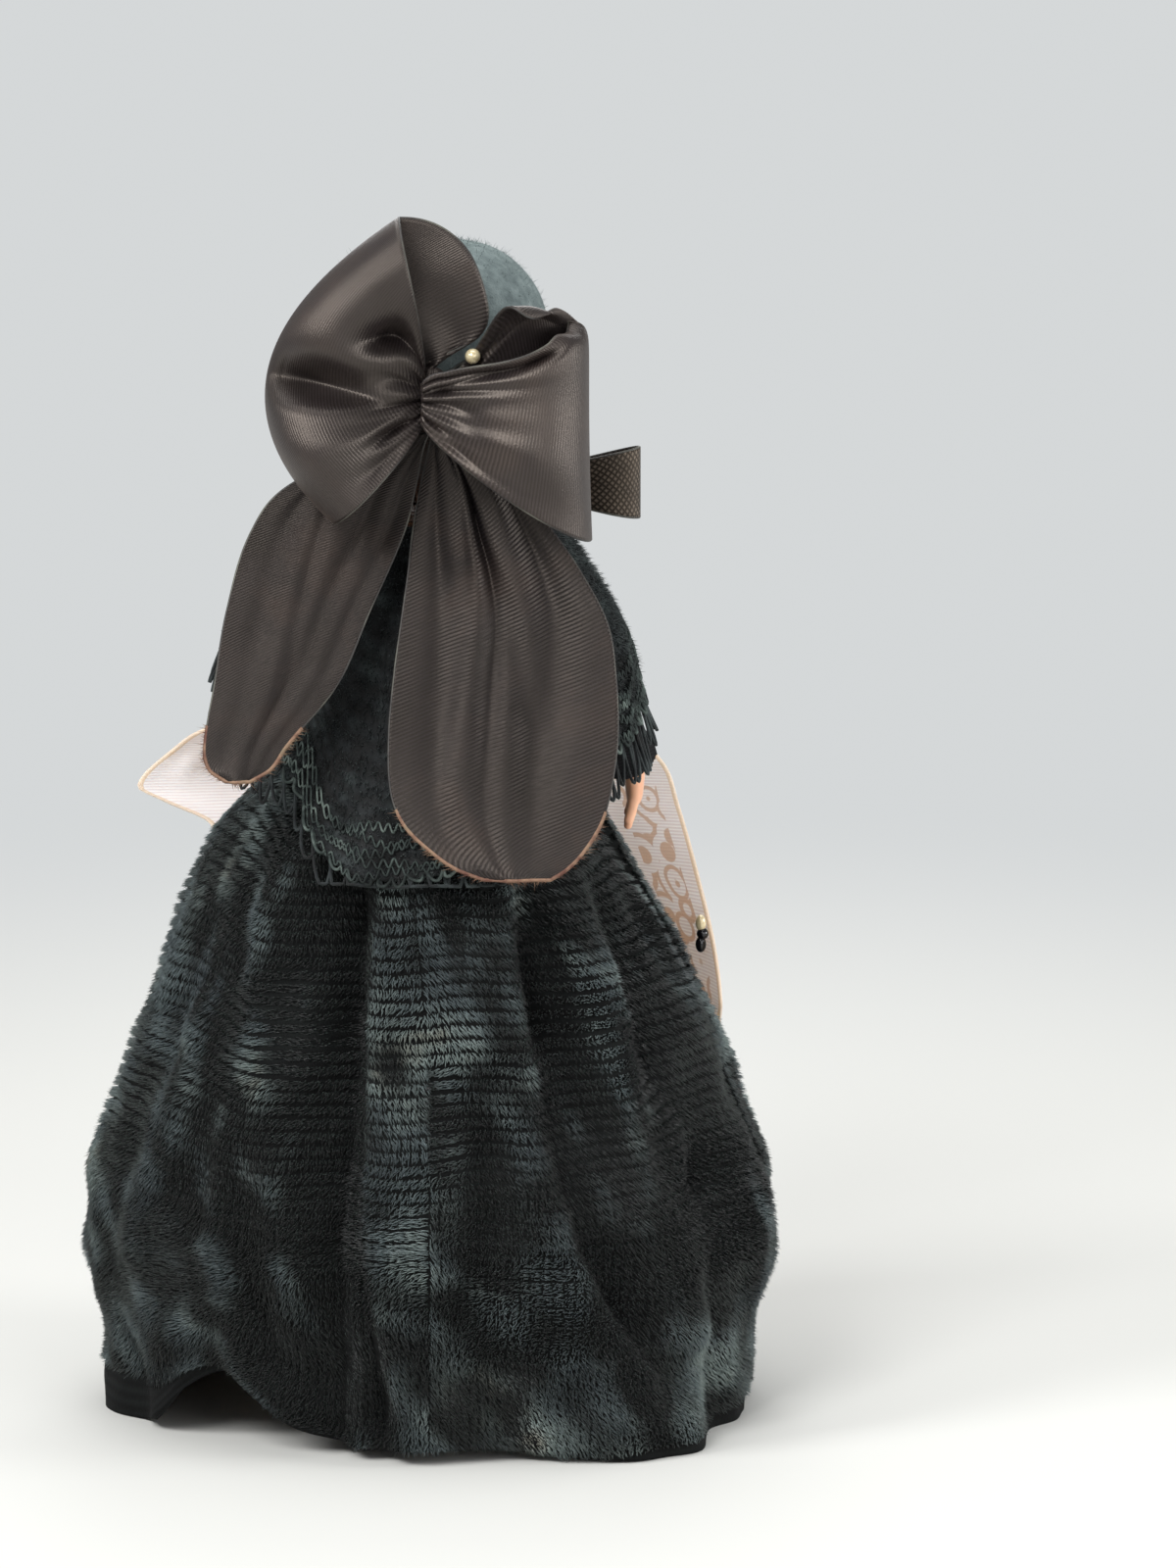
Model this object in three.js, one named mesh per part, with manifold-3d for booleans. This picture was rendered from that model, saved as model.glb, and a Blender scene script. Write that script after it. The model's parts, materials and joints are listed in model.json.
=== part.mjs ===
// A strung hard-plastic souvenir doll of the 20 cm size in folk costume.
// Units are millimetres. +Z is up, the doll faces +Y and the doll's right hand is at +X.
// The origin is on the ground under the middle of the object's box.
import * as THREE from "three";
import { mergeVertices } from "three/addons/utils/BufferGeometryUtils.js";
import Module from "manifold-3d";

const wasm = await Module();
wasm.setup();

// Body heights, each from the one below it
const legLength = 93; // sole of the shoe to the leg's axis
const hipToWaist = 24;
const waistToShoulder = 29;
const shoulderToNeck = 9; // arm axis to the top of the torso
const neckToChin = 4;
const chinToCrown = 40;

const hipHeight = legLength;
const waistHeight = hipHeight + hipToWaist;
const shoulderHeight = waistHeight + waistToShoulder;
const torsoTop = shoulderHeight + shoulderToNeck;
const chinHeight = torsoTop + neckToChin;
const crownHeight = chinHeight + chinToCrown;

// Clearances
const seatGap = 0.3; // between pieces that rest on each other
const runGap = 0.4; // between pieces that turn past each other
const lidGap = 0.35; // round an eyeball
const sweepGap = 0.9; // between cloth layers that hang freely

// Hard plastic shells
const torsoWall = 1.7;
const headWall = 1.6;
const torsoHalfWidth = 15; // the flat sides that carry the arms
const crotchHalfWidth = 7.8; // the flat sides that carry the legs
const waistHalfWidth = 11.6;
const waistHalfDepth = 9.1;
const chestHalfDepth = 10.4;
const hipHalfDepth = 11.2;
const elasticHole = 3.2;
const neckRadius = 6.3;
const neckDepth = 4; // how far the neck's round end sits in the torso
const headHalfWidth = 16.5;
const faceDepth = 16.6;
const napeDepth = 17.6;

// Sleep eyes
const eyeSpacing = 13.2;
const eyeRadius = 4.2;
const eyeAboveChin = 18.5;
const eyeForward = 8.6;
const capEdge = 25.5; // above the chin, at the head's middle
const eyeOpeningHalfWidth = 3.1;
const eyeOpeningHalfHeight = 2.1;
const weightRadius = 2.5;
const weightLength = 6;
const weightBack = 6.6; // behind the eye axis
const weightDrop = 8; // below the eye axis

// Strings and wires
const wireRadius = 0.45;
const elasticRadius = 0.6;
const legLoopHalfWidth = 2.2;
const hookRingRadius = 2.2;

// Limbs
const armDiscRadius = 5.4;
const armRadius = 4.6;
const wristRadius = 2.7;
const handOut = 34.9; // from the middle to the palm
const handForward = 10;
const armDrop = 39; // arm axis to the middle of the palm
const leftArmTurn = 0.7; // turned forward, with the hand in front of the apron
const fingerLength = 7.4;
const legDiscRadius = 8.4;
const thighRadius = 5.6;
const kneeRadius = 4.4;
const ankleRadius = 3.1;
const footLength = 17;
const footHalfWidth = 4;
const footHeight = 7;
const shoeWall = 1;

// Cloth
const clothThickness = 0.8;
const feltThickness = 1.2;
const hairThickness = 1.7;
const velvetThickness = 2;
const waistGatherThickness = 1.3;
const laceThickness = 0.9;
const ribbonThickness = 0.8;
const satinThickness = 0.9;

// Skirt
const skirtHalfWidth = 59.5;
const skirtHalfDepth = 53.5;
const hemHalfWidth = 56;
const hemHalfDepth = 48.5;
const skirtSway = -2.4; // the top of the skirt leans to the doll's left
const skirtLeftFullness = 1.02;
const deepFold = 6.5;
const softFold = 2.8;
const hemLift = 13; // at the back left
const hemMiddleLift = 2.5;
const hemLobe = 9; // how far the hem swings out at the back right
const petticoatHem = 6; // above the ground
const petticoatHalfWidth = 43;

// Apron
const apronLength = 78;
const apronHalfWidth = 50;
const apronFlare = 43; // half width where its right side stands off the hip
const apronCorner = 52.5; // reach of its left corner
const apronPuff = 5; // how far its gathers stand out below the band
const bandHeight = 3.4;

// Shawl
const shawlHalfWidth = 40;
const shawlBackDepth = 27;
const shawlFrontDepth = 20;
const shawlPoint = 19; // below the waist at the back
const shawlLeftFullness = 1.06; // it lies wider over the left arm
const shawlArmBulge = 10; // and stands further forward over it
const fringeLength = 4.2;
const fringeLoops = 27;

// Head ribbons
const bowOut = 28; // from the knot to the fold of the left loop
const bowRise = 30;
const bowDrop = 21;
const bowDepth = 9; // how far the front layers stand out
const bowCrossing = 12; // how far the left loop's back layer runs over to the right
const rightBowOut = 26;
const rightBowRise = 16;
const rightBowDrop = 24;
const bowAboveChin = 20.5;
const knotHalfWidth = 3;
const knotHalfHeight = 5.4;
const knotHalfDepth = 3.4;
const chinRibbonWidth = 12;
const chinBowReach = 17.8;
const pearlRadius = 1.5;
const pinRadius = 0.35;
const pinLength = 9.8;

const weld = 1e-3;
const up = new THREE.Vector3(0, 0, 1);
const toX = new THREE.Matrix4().makeRotationZ(-Math.PI / 2); // a lathe's axis to +X
const toZ = new THREE.Matrix4().makeRotationX(Math.PI / 2); // a lathe's axis to +Z

// Smooth value at a place between stations of [place, value], the places rising
function along(stations, at) {
  const last = stations.length - 1;
  if (at <= stations[0][0]) return stations[0][1];
  if (at >= stations[last][0]) return stations[last][1];
  const k = stations.findIndex(([place]) => place > at) - 1;
  const slope = (i) => {
    const before = stations[Math.max(i - 1, 0)];
    const after = stations[Math.min(i + 1, last)];
    return (after[1] - before[1]) / (after[0] - before[0]);
  };
  const [p0, v0] = stations[k];
  const [p1, v1] = stations[k + 1];
  const span = p1 - p0;
  const t = (at - p0) / span;
  const t2 = t * t;
  const t3 = t2 * t;
  const start = (2 * t3 - 3 * t2 + 1) * v0 + (t3 - 2 * t2 + t) * span * slope(k);
  return start + (3 * t2 - 2 * t3) * v1 + (t3 - t2) * span * slope(k + 1);
}

function bump(distance, width) {
  return Math.exp(-((distance / width) ** 2));
}

function range(count) {
  return Array.from({ length: count }, (_, i) => i);
}

// Triangles turned so that the closed surface faces outwards
function facingOut(points, faces) {
  let volume = 0;
  for (let i = 0; i < faces.length; i += 3) {
    const [a, b, c] = [points[faces[i]], points[faces[i + 1]], points[faces[i + 2]]];
    volume += a.dot(b.clone().cross(c));
  }
  if (volume < 0) faces.reverse();
  const geometry = new THREE.BufferGeometry();
  const flat = points.flatMap((p) => [p.x, p.y, p.z]);
  geometry.setAttribute("position", new THREE.Float32BufferAttribute(flat, 3));
  geometry.setIndex(faces);
  return geometry;
}

// A skin over rings of equal count: capped at both ends, or joined end to start
function skinOver(rings, joined = false) {
  const count = rings[0].length;
  const points = rings.flat();
  const faces = [];
  const bands = joined ? rings.length : rings.length - 1;
  for (let row = 0; row < bands; row += 1) {
    const next = (row + 1) % rings.length;
    for (let i = 0; i < count; i += 1) {
      const j = (i + 1) % count;
      faces.push(row * count + i, row * count + j, next * count + j);
      faces.push(row * count + i, next * count + j, next * count + i);
    }
  }
  if (!joined) {
    for (const [row, flip] of [[0, true], [rings.length - 1, false]]) {
      const middle = new THREE.Vector3();
      rings[row].forEach((p) => middle.addScaledVector(p, 1 / count));
      points.push(middle);
      for (let i = 0; i < count; i += 1) {
        const a = row * count + i;
        const b = row * count + ((i + 1) % count);
        faces.push(...(flip ? [b, a, points.length - 1] : [a, b, points.length - 1]));
      }
    }
  }
  return facingOut(points, faces);
}

// A sheet of cloth: its middle surface at(u, v), u and v from 0 to 1, made thick along its normal
function sheetOver(at, across, down, thickness) {
  const step = 1e-3;
  const side = (u, v, sign) => {
    const du = at(Math.min(u + step, 1), v).sub(at(Math.max(u - step, 0), v));
    const dv = at(u, Math.min(v + step, 1)).sub(at(u, Math.max(v - step, 0)));
    const normal = du.cross(dv).normalize();
    return at(u, v).addScaledVector(normal, (sign * thickness) / 2);
  };
  const us = range(across + 1).map((i) => i / across);
  const rows = range(down + 1).map((j) => [
    ...us.map((u) => side(u, j / down, 1)),
    ...us.map((u) => side(1 - u, j / down, -1)),
  ]);
  const count = rows[0].length;
  const points = rows.flat();
  const faces = [];
  for (let row = 0; row < down; row += 1) {
    for (let i = 0; i < count; i += 1) {
      const [a, b] = [row * count + i, row * count + ((i + 1) % count)];
      faces.push(a, b, b + count, a, b + count, a + count);
    }
  }
  for (const [row, flip] of [[0, true], [down, false]]) {
    for (let i = 0; i < across; i += 1) {
      const [a, b] = [row * count + i, row * count + i + 1];
      const [c, d] = [row * count + count - 2 - i, row * count + count - 1 - i];
      faces.push(...(flip ? [a, d, c, a, c, b] : [a, b, c, a, c, d]));
    }
  }
  return facingOut(points, faces);
}

// A ring of points about the vertical: halfWidth along X, front and back depths along Y
function ovalRing(z, halfWidth, front, back, count, middleX = 0, middleY = 0) {
  return range(count).map((i) => {
    const turn = (2 * Math.PI * i) / count;
    const depth = Math.sin(turn) > 0 ? front : back;
    return new THREE.Vector3(
      middleX + halfWidth * Math.cos(turn),
      middleY + depth * Math.sin(turn),
      z,
    );
  });
}

function solidOf(geometry) {
  const bare = geometry.index ? geometry.toNonIndexed() : geometry.clone();
  bare.deleteAttribute("normal");
  bare.deleteAttribute("uv");
  const merged = mergeVertices(bare, weld);
  return new wasm.Manifold(
    new wasm.Mesh({
      numProp: 3,
      vertProperties: merged.attributes.position.array,
      triVerts: new Uint32Array(merged.index.array),
    }),
  );
}

function geometryOf(solid) {
  const mesh = solid.getMesh();
  const geometry = new THREE.BufferGeometry();
  const flat = new THREE.Float32BufferAttribute(mesh.vertProperties, mesh.numProp);
  geometry.setAttribute("position", flat);
  geometry.setIndex(new THREE.BufferAttribute(mesh.triVerts, 1));
  return geometry;
}

function joined(...geometries) {
  return geometries.map(solidOf).reduce((whole, next) => whole.add(next));
}

function box(x0, x1, y0, y1, z0, z1) {
  const block = new THREE.BoxGeometry(x1 - x0, y1 - y0, z1 - z0);
  return block.translate((x0 + x1) / 2, (y0 + y1) / 2, (z0 + z1) / 2);
}

function rodX(radius, x0, x1, y, z, sides = 18) {
  const rod = new THREE.CylinderGeometry(radius, radius, Math.abs(x1 - x0), sides);
  return rod.applyMatrix4(toX).translate((x0 + x1) / 2, y, z);
}

function rodZ(radius, z0, z1, sides = 16) {
  const rod = new THREE.CylinderGeometry(radius, radius, z1 - z0, sides);
  return rod.applyMatrix4(toZ).translate(0, 0, (z0 + z1) / 2);
}

// A round wire or cord along a curve
function wireAlong(points, radius, steps, halfSides = 3) {
  const section = new THREE.Shape().absarc(0, 0, radius, 0, 2 * Math.PI);
  return new THREE.ExtrudeGeometry(section, {
    curveSegments: halfSides,
    steps,
    bevelEnabled: false,
    extrudePath: new THREE.CatmullRomCurve3(points, false, "centripetal"),
  });
}

// A closed loop of elastic: two straight runs and a round bend at each end
function elasticLoop(from, to, halfWidth, sideways) {
  const lengthwise = to.clone().sub(from).normalize();
  const bendSteps = 4;
  const middles = [];
  for (const [end, direction] of [[to, 1], [from, -1]]) {
    for (let i = 0; i <= bendSteps; i += 1) {
      const turn = (Math.PI * i) / bendSteps;
      middles.push({
        point: end
          .clone()
          .addScaledVector(sideways, direction * halfWidth * Math.cos(turn))
          .addScaledVector(lengthwise, direction * halfWidth * Math.sin(turn)),
        outward: sideways
          .clone()
          .multiplyScalar(direction * Math.cos(turn))
          .addScaledVector(lengthwise, direction * Math.sin(turn)),
      });
    }
  }
  const flank = lengthwise.clone().cross(sideways);
  const rings = middles.map(({ point, outward }) =>
    range(6).map((i) => {
      const turn = (2 * Math.PI * i) / 6;
      return point
        .clone()
        .addScaledVector(outward, elasticRadius * Math.cos(turn))
        .addScaledVector(flank, elasticRadius * Math.sin(turn));
    }),
  );
  return skinOver(rings, true);
}

const doll = new THREE.Group();
doll.name = "souvenir_doll";

function place(parent, name, shape, look) {
  const geometry = shape instanceof THREE.BufferGeometry ? shape : geometryOf(shape);
  const mesh = new THREE.Mesh(geometry, new THREE.MeshStandardMaterial(look));
  mesh.name = name;
  parent.add(mesh);
}

const skinPlastic = { color: 0xe8b593, roughness: 0.45, metalness: 0 };
const steel = { color: 0x9a9a98, roughness: 0.35, metalness: 1 };
const lead = { color: 0x6d6f72, roughness: 0.6, metalness: 1 };
const eyeGlass = { color: 0x3f5f7c, roughness: 0.1, metalness: 0 };
const whiteElastic = { color: 0xe6e1d6, roughness: 0.8, metalness: 0 };
const whiteCotton = { color: 0xeeeae2, roughness: 0.9, metalness: 0 };
const blackCotton = { color: 0x17161a, roughness: 0.85, metalness: 0 };
const blackVelvet = { color: 0x15181b, roughness: 0.95, metalness: 0 };
const blackLace = { color: 0x101214, roughness: 0.9, metalness: 0 };
const darkSatin = { color: 0x30262a, roughness: 0.35, metalness: 0 };
const paleSatin = { color: 0xe9d3d0, roughness: 0.35, metalness: 0 };
const darkFelt = { color: 0x26302f, roughness: 1, metalness: 0 };
const brownHair = { color: 0x4a3122, roughness: 0.6, metalness: 0 };
const shoeVinyl = { color: 0x121213, roughness: 0.3, metalness: 0 };
const pearl = { color: 0xe9d9b0, roughness: 0.2, metalness: 0 };

// Torso: two glued shells with a cup for the neck and flat sides for the limbs
const cupFloor = torsoTop - neckDepth;

function neckRings(extra, count) {
  const floor = cupFloor - extra;
  return [
    ovalRing(floor, 4 + extra, 4 + extra, 4 + extra, count),
    ovalRing(floor + 1, 5.4 + extra, 5.4 + extra, 5.4 + extra, count),
    ovalRing(floor + 2.4, neckRadius + extra, neckRadius + extra, neckRadius + extra, count),
  ];
}

const torsoSides = 18;

// The body's outline: [height, half width, half depth]
const torsoOutline = [
  [hipHeight - 7.5, 6, 6.5],
  [hipHeight - 5, 9, 8.6],
  [hipHeight + 2, 13.8, 10.6],
  [hipHeight + 10, 15.8, hipHalfDepth],
  [waistHeight - 7, 13.4, 10],
  [waistHeight, waistHalfWidth - 0.1, waistHalfDepth - 0.1],
  [waistHeight + 11, 13, 9.6],
  [shoulderHeight - 8, torsoHalfWidth, chestHalfDepth],
  [shoulderHeight + 1, torsoHalfWidth + 0.6, 9.4],
  [shoulderHeight + 5, 12.4, 8.6],
  [torsoTop, neckRadius + 1.6, neckRadius + 1.6],
];

function torsoSkin(extra, bottom, top) {
  const sizeAt = (z) => {
    const above = torsoOutline.findIndex(([level]) => level > z);
    if (above < 1) return above < 0 ? torsoOutline[torsoOutline.length - 1] : torsoOutline[0];
    const [low, high] = [torsoOutline[above - 1], torsoOutline[above]];
    const share = (z - low[0]) / (high[0] - low[0]);
    return low.map((value, i) => THREE.MathUtils.lerp(value, high[i], share));
  };
  const between = torsoOutline.map(([z]) => z).filter((z) => z > bottom + 1 && z < top - 1);
  const rings = [bottom, ...between, top].map((z) => {
    const [, halfWidth, halfDepth] = sizeAt(z);
    return ovalRing(z, halfWidth + extra, halfDepth + extra, halfDepth + extra, torsoSides);
  });
  return solidOf(skinOver(rings));
}

function bothSides(shapeFor) {
  return shapeFor(1).add(shapeFor(-1));
}

function legSockets(extra) {
  const reach = 30;
  return bothSides((side) =>
    solidOf(
      rodX(
        legDiscRadius + runGap + extra,
        side * (crotchHalfWidth - extra),
        side * reach,
        0,
        hipHeight,
      ),
    ),
  );
}

function armSockets(extra) {
  const reach = 30;
  const discX = torsoHalfWidth - extra;
  return bothSides((side) => {
    const [x0, x1] = [side * discX, side * reach].sort((a, b) => a - b);
    return solidOf(box(x0, x1, -reach, reach, shoulderHeight - 8, torsoTop + 5));
  });
}

function torsoShell() {
  const floor = hipHeight - 7.5;
  const outside = torsoSkin(0, floor, torsoTop).subtract(legSockets(0)).subtract(armSockets(0));
  const hollow = torsoSkin(-torsoWall, floor + torsoWall, cupFloor - 2)
    .subtract(legSockets(torsoWall))
    .subtract(armSockets(torsoWall));
  const cup = solidOf(
    skinOver([
      ...neckRings(runGap, torsoSides),
      ovalRing(
        torsoTop + 2,
        neckRadius + runGap,
        neckRadius + runGap,
        neckRadius + runGap,
        torsoSides,
      ),
    ]),
  );
  const acrossHip = rodX(elasticHole, -torsoHalfWidth, torsoHalfWidth, 0, hipHeight, 14);
  const acrossArms = rodX(
    elasticHole,
    -torsoHalfWidth - 1,
    torsoHalfWidth + 1,
    0,
    shoulderHeight,
    14,
  );
  const neckHole = rodZ(elasticHole, cupFloor - 5, torsoTop, 14);
  return outside
    .subtract(hollow)
    .subtract(cup)
    .subtract(solidOf(acrossHip))
    .subtract(solidOf(acrossArms))
    .subtract(solidOf(neckHole));
}

function halves(shell, low, high) {
  const reach = 60;
  const half = seatGap / 2;
  const front = shell.intersect(solidOf(box(-reach, reach, half, reach, low, high)));
  const back = shell.intersect(solidOf(box(-reach, reach, -reach, -half, low, high)));
  return [front, back];
}

const [torsoFront, torsoBack] = halves(torsoShell(), 0, crownHeight);
place(doll, "torso_front", torsoFront, skinPlastic);
place(doll, "torso_back", torsoBack, skinPlastic);

// Close-fitting garments follow the torso's own outline
function fittedGarment(bottom, top, armholeRadius) {
  const inside = seatGap;
  const outside = seatGap + clothThickness;
  const openings = bothSides((side) =>
    solidOf(
      rodX(
        armholeRadius,
        side * (torsoHalfWidth - 3),
        side * 2 * torsoHalfWidth,
        0,
        shoulderHeight,
      ),
    ),
  );
  return torsoSkin(outside, bottom, top)
    .subtract(torsoSkin(inside, bottom - 1, top + 1))
    .subtract(legSockets(seatGap))
    .subtract(openings);
}

const bodiceBottom = waistHeight - 5;
const armholeRadius = armDiscRadius + runGap + clothThickness + runGap;
place(
  doll,
  "bodice",
  fittedGarment(bodiceBottom, torsoTop - 1.2, armholeRadius),
  blackCotton,
);
place(
  doll,
  "knickers",
  fittedGarment(hipHeight - 6.6, bodiceBottom - seatGap, armholeRadius),
  whiteCotton,
);

// Head: two glued shells with a turning neck, a moulded face and eye openings
const eyeHeight = chinHeight + eyeAboveChin;
const eyeX = eyeSpacing / 2;
const noseHeight = chinHeight + 13.6;
const mouthHeight = chinHeight + 7.6;

function faceRelief(x, z) {
  const nose = 2.3 * bump(x, 1.9) * bump(z - noseHeight, z < noseHeight ? 1.7 : 4.2);
  const lips = 0.9 * bump(x, 3) * bump(z - mouthHeight, 1.9);
  const chin = 1.1 * bump(x, 4) * bump(z - chinHeight - 2.6, 2.4);
  const cheeks = 0.9 * bump(Math.abs(x) - 8.6, 4) * bump(z - chinHeight - 10, 4.6);
  const sockets = 1 * bump(Math.abs(x) - eyeX, 3.6) * bump(z - eyeHeight, 3);
  return nose + lips + chin + cheeks - sockets;
}

function headSkin(extra, relief, count, rows, floorZ) {
  const scale = chinToCrown;
  const station = (share) => chinHeight + share * scale;
  const size = (values) => [
    [station(-0.07), neckRadius],
    ...[0, 0.05, 0.15, 0.28, 0.43, 0.6, 0.78, 0.9, 0.97, 1].map((share, i) => [
      station(share),
      values[i],
    ]),
  ];
  const widths = size([0.5, 0.66, 0.84, 0.95, 1, 1, 0.9, 0.68, 0.4, 0.06].map((s) => s * headHalfWidth));
  const fronts = size([0.72, 0.9, 0.97, 1, 1, 1, 0.9, 0.68, 0.4, 0.06].map((s) => s * faceDepth));
  const backs = size([0.38, 0.54, 0.8, 0.94, 1, 1, 0.9, 0.68, 0.4, 0.06].map((s) => s * napeDepth));
  const low = floorZ;
  const high = crownHeight + Math.min(extra, 4);
  const rings = range(rows + 1).map((i) => {
    const t = i / rows;
    const z = low + (high - low) * Math.sin((t * Math.PI) / 2) ** 1.12;
    const zIn = THREE.MathUtils.clamp(
      chinHeight + ((z - chinHeight) * chinToCrown) / (chinToCrown + extra),
      chinHeight - neckToChin - neckDepth,
      crownHeight,
    );
    const zSample = z > chinHeight ? zIn : z;
    return ovalRing(
      z,
      Math.max(along(widths, zSample) + extra, 0.6),
      Math.max(along(fronts, zSample) + extra, 0.6),
      Math.max(along(backs, zSample) + extra, 0.6),
      count,
    ).map((p) => {
      if (p.y > 0 && relief) p.y += faceRelief(p.x, p.z) * Math.min(1, p.y / 6);
      return p;
    });
  });
  return rings;
}

function headShell() {
  const outside = solidOf(
    skinOver([...neckRings(0, 26), ...headSkin(0, true, 26, 15, chinHeight - 3)]),
  );
  const ledge = cupFloor + 1.9;
  const throat = neckRadius - headWall;
  const hollow = solidOf(
    skinOver([
      ovalRing(ledge, throat, throat, throat, 14),
      ...headSkin(-headWall, false, 14, 7, chinHeight - 2.5),
    ]),
  );
  let shell = outside.subtract(hollow).subtract(solidOf(rodZ(elasticHole, cupFloor - 2, ledge + 1, 14)));
  for (const side of [1, -1]) {
    const opening = new THREE.CylinderGeometry(1, 1, 14, 16);
    opening.scale(eyeOpeningHalfWidth, 1, eyeOpeningHalfHeight);
    opening.translate(side * eyeX, eyeForward + 7, eyeHeight);
    const socket = new THREE.SphereGeometry(eyeRadius + lidGap, 12, 8);
    socket.translate(side * eyeX, eyeForward, eyeHeight);
    shell = shell.subtract(solidOf(opening)).subtract(solidOf(socket));
  }
  return shell;
}

const head = new THREE.Group();
doll.add(head);
const [headFront, headBack] = halves(headShell(), 0, crownHeight + 10);
place(head, "head_front", headFront, skinPlastic);
place(head, "head_back", headBack, skinPlastic);

const barHeight = cupFloor + 1.9 + seatGap + wireRadius;
const barHalfLength = neckRadius - headWall - seatGap;
place(
  head,
  "neck_bar",
  rodX(wireRadius, -barHalfLength, barHalfLength, 0, barHeight, 10),
  steel,
);

// Sleep eyes: two eyeballs on a rocker, closed by a lead weight when the doll lies down
const eyes = new THREE.Group();
head.add(eyes);
for (const [side, name] of [[1, "right_eye"], [-1, "left_eye"]]) {
  const ball = new THREE.SphereGeometry(eyeRadius, 10, 7);
  ball.translate(side * eyeX, eyeForward, eyeHeight);
  place(eyes, name, ball, eyeGlass);
}
const rockerEnd = eyeX - eyeRadius - seatGap;
const weightY = eyeForward - weightBack;
const weightZ = eyeHeight - weightDrop;
const rockerStem = [
  new THREE.Vector3(0, eyeForward, eyeHeight),
  new THREE.Vector3(0, eyeForward - weightBack * 0.45, eyeHeight - weightDrop * 0.25),
  new THREE.Vector3(0, weightY + 0.2, weightZ + weightRadius + seatGap),
];
place(
  eyes,
  "eye_rocker",
  joined(
    rodX(0.8, -rockerEnd, rockerEnd, eyeForward, eyeHeight, 8),
    wireAlong(rockerStem, 0.6, 4),
  ),
  steel,
);
place(
  eyes,
  "eye_weight",
  rodX(weightRadius, -weightLength / 2, weightLength / 2, weightY, weightZ, 16),
  lead,
);
const padFront = faceDepth - headWall - 1;
place(
  head,
  "eye_stop_pad",
  box(-2.6, 2.6, weightY + weightRadius + seatGap, padFront, weightZ - 2, weightZ + 2),
  blackCotton,
);

// Wig, cap and the pin that holds the bow
const wigInside = 0.9;
const wigOutside = wigInside + hairThickness;
const capInside = wigOutside + seatGap;
const capOutside = capInside + feltThickness;

function headLayer(inner, outer, bottom, cutInner) {
  const [sides, rings] = [20, 8];
  const outside = solidOf(skinOver(headSkin(outer, false, sides, rings, bottom)));
  const inside = solidOf(skinOver(headSkin(inner, false, sides, rings, bottom - 1)));
  return outside.subtract(inside).subtract(cutInner);
}

function faceOpening(halfWidth, halfHeight, middleZ, fromY) {
  const reach = 2 * headHalfWidth;
  const opening = new THREE.CylinderGeometry(1, 1, 2 * reach, 20);
  opening.scale(halfWidth, 1, halfHeight);
  opening.translate(0, fromY + reach, middleZ);
  return solidOf(opening);
}

const pinEntry = new THREE.Vector3(4.9, -23.9, chinHeight + 25.3);
const pinDirection = new THREE.Vector3(-0.62, 0.62, -0.48).normalize();

function pinRod(radius, from, to) {
  const rod = new THREE.CylinderGeometry(radius, radius, to - from, 8);
  const lean = new THREE.Quaternion().setFromUnitVectors(new THREE.Vector3(0, 1, 0), pinDirection);
  rod.translate(0, (from + to) / 2, 0).applyQuaternion(lean);
  return rod.translate(pinEntry.x, pinEntry.y, pinEntry.z);
}

const pinHole = solidOf(pinRod(pinRadius + seatGap, -6, pinLength));
const wigBottom = chinHeight + 4;
place(
  head,
  "wig",
  headLayer(wigInside, wigOutside, wigBottom, faceOpening(13.4, 17, chinHeight + 13.6, 1.5))
    .subtract(pinHole),
  brownHair,
);

function capCut() {
  const reach = 3 * headHalfWidth;
  const below = box(-reach, reach, -reach, reach, -reach, 0);
  below.rotateX(0.34).translate(0, 0, chinHeight + capEdge);
  return solidOf(below);
}
place(
  head,
  "felt_cap",
  headLayer(capInside, capOutside, wigBottom, capCut()).subtract(pinHole),
  darkFelt,
);
place(head, "pin_shaft", pinRod(pinRadius, -2.4, pinLength - 0.6), steel);
const pearlBall = new THREE.SphereGeometry(pearlRadius, 10, 7);
const pearlAt = pinEntry.clone().addScaledVector(pinDirection, -2.4 - seatGap - pearlRadius);
pearlBall.translate(pearlAt.x, pearlAt.y, pearlAt.z);
place(head, "pin_pearl", pearlBall, pearl);

// Head bow: two loops and two tails of wide ribbon, gathered in a knot
const capBack = napeDepth + capOutside;
const knotAt = new THREE.Vector3(
  0.8,
  -(capBack + seatGap + knotHalfDepth),
  chinHeight + bowAboveChin,
);

function bowLoop({ side, out, rise, drop, topShare, bottomShare, crossing, sag, backRise, hollows, bulge }) {
  const start = knotHalfWidth + seatGap + ribbonThickness / 2;
  const gather = 0.18;
  const at = (u, v) => {
    const w = 1 - 2 * u;
    const swell = Math.sin(Math.PI * v);
    const open = gather + (1 - gather) * swell ** 0.75;
    const fold = 1 - (1 - (w > 0 ? topShare : bottomShare)) * w ** 2;
    const pleat = Math.sin(9 * w) * (1 - swell ** 2);
    const layer = Math.sin(2 * Math.PI * v);
    const front = Math.max(layer, 0);
    const back = Math.max(-layer, 0);
    const upper = Math.max(w, 0);
    const over = crossing * back * upper ** 1.2;
    const hollow = hollows.reduce(
      (sum, [across, outward, wide, long, deep]) =>
        sum + deep * bump(w - across, wide) * bump(swell - outward, long),
      0,
    );
    const puff = bulge * bump(w + 0.5, 0.4);
    return new THREE.Vector3(
      knotAt.x + side * (start + (out * fold - start) * swell) + over,
      knotAt.y -
        bowDepth * front +
        bowDepth * 0.15 * back -
        1.6 * Math.max(-w, 0) * swell +
        (hollow - puff) * front -
        0.9 * Math.cos(Math.PI * v) * (1 - swell) +
        0.36 * pleat,
      knotAt.z +
        (w > 0 ? rise : drop) * w * open +
        0.27 * pleat -
        sag * front * upper ** 2 +
        backRise * back * upper,
    );
  };
  return solidOf(sheetOver(at, 10, 12, ribbonThickness)).subtract(pinHole);
}

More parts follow.
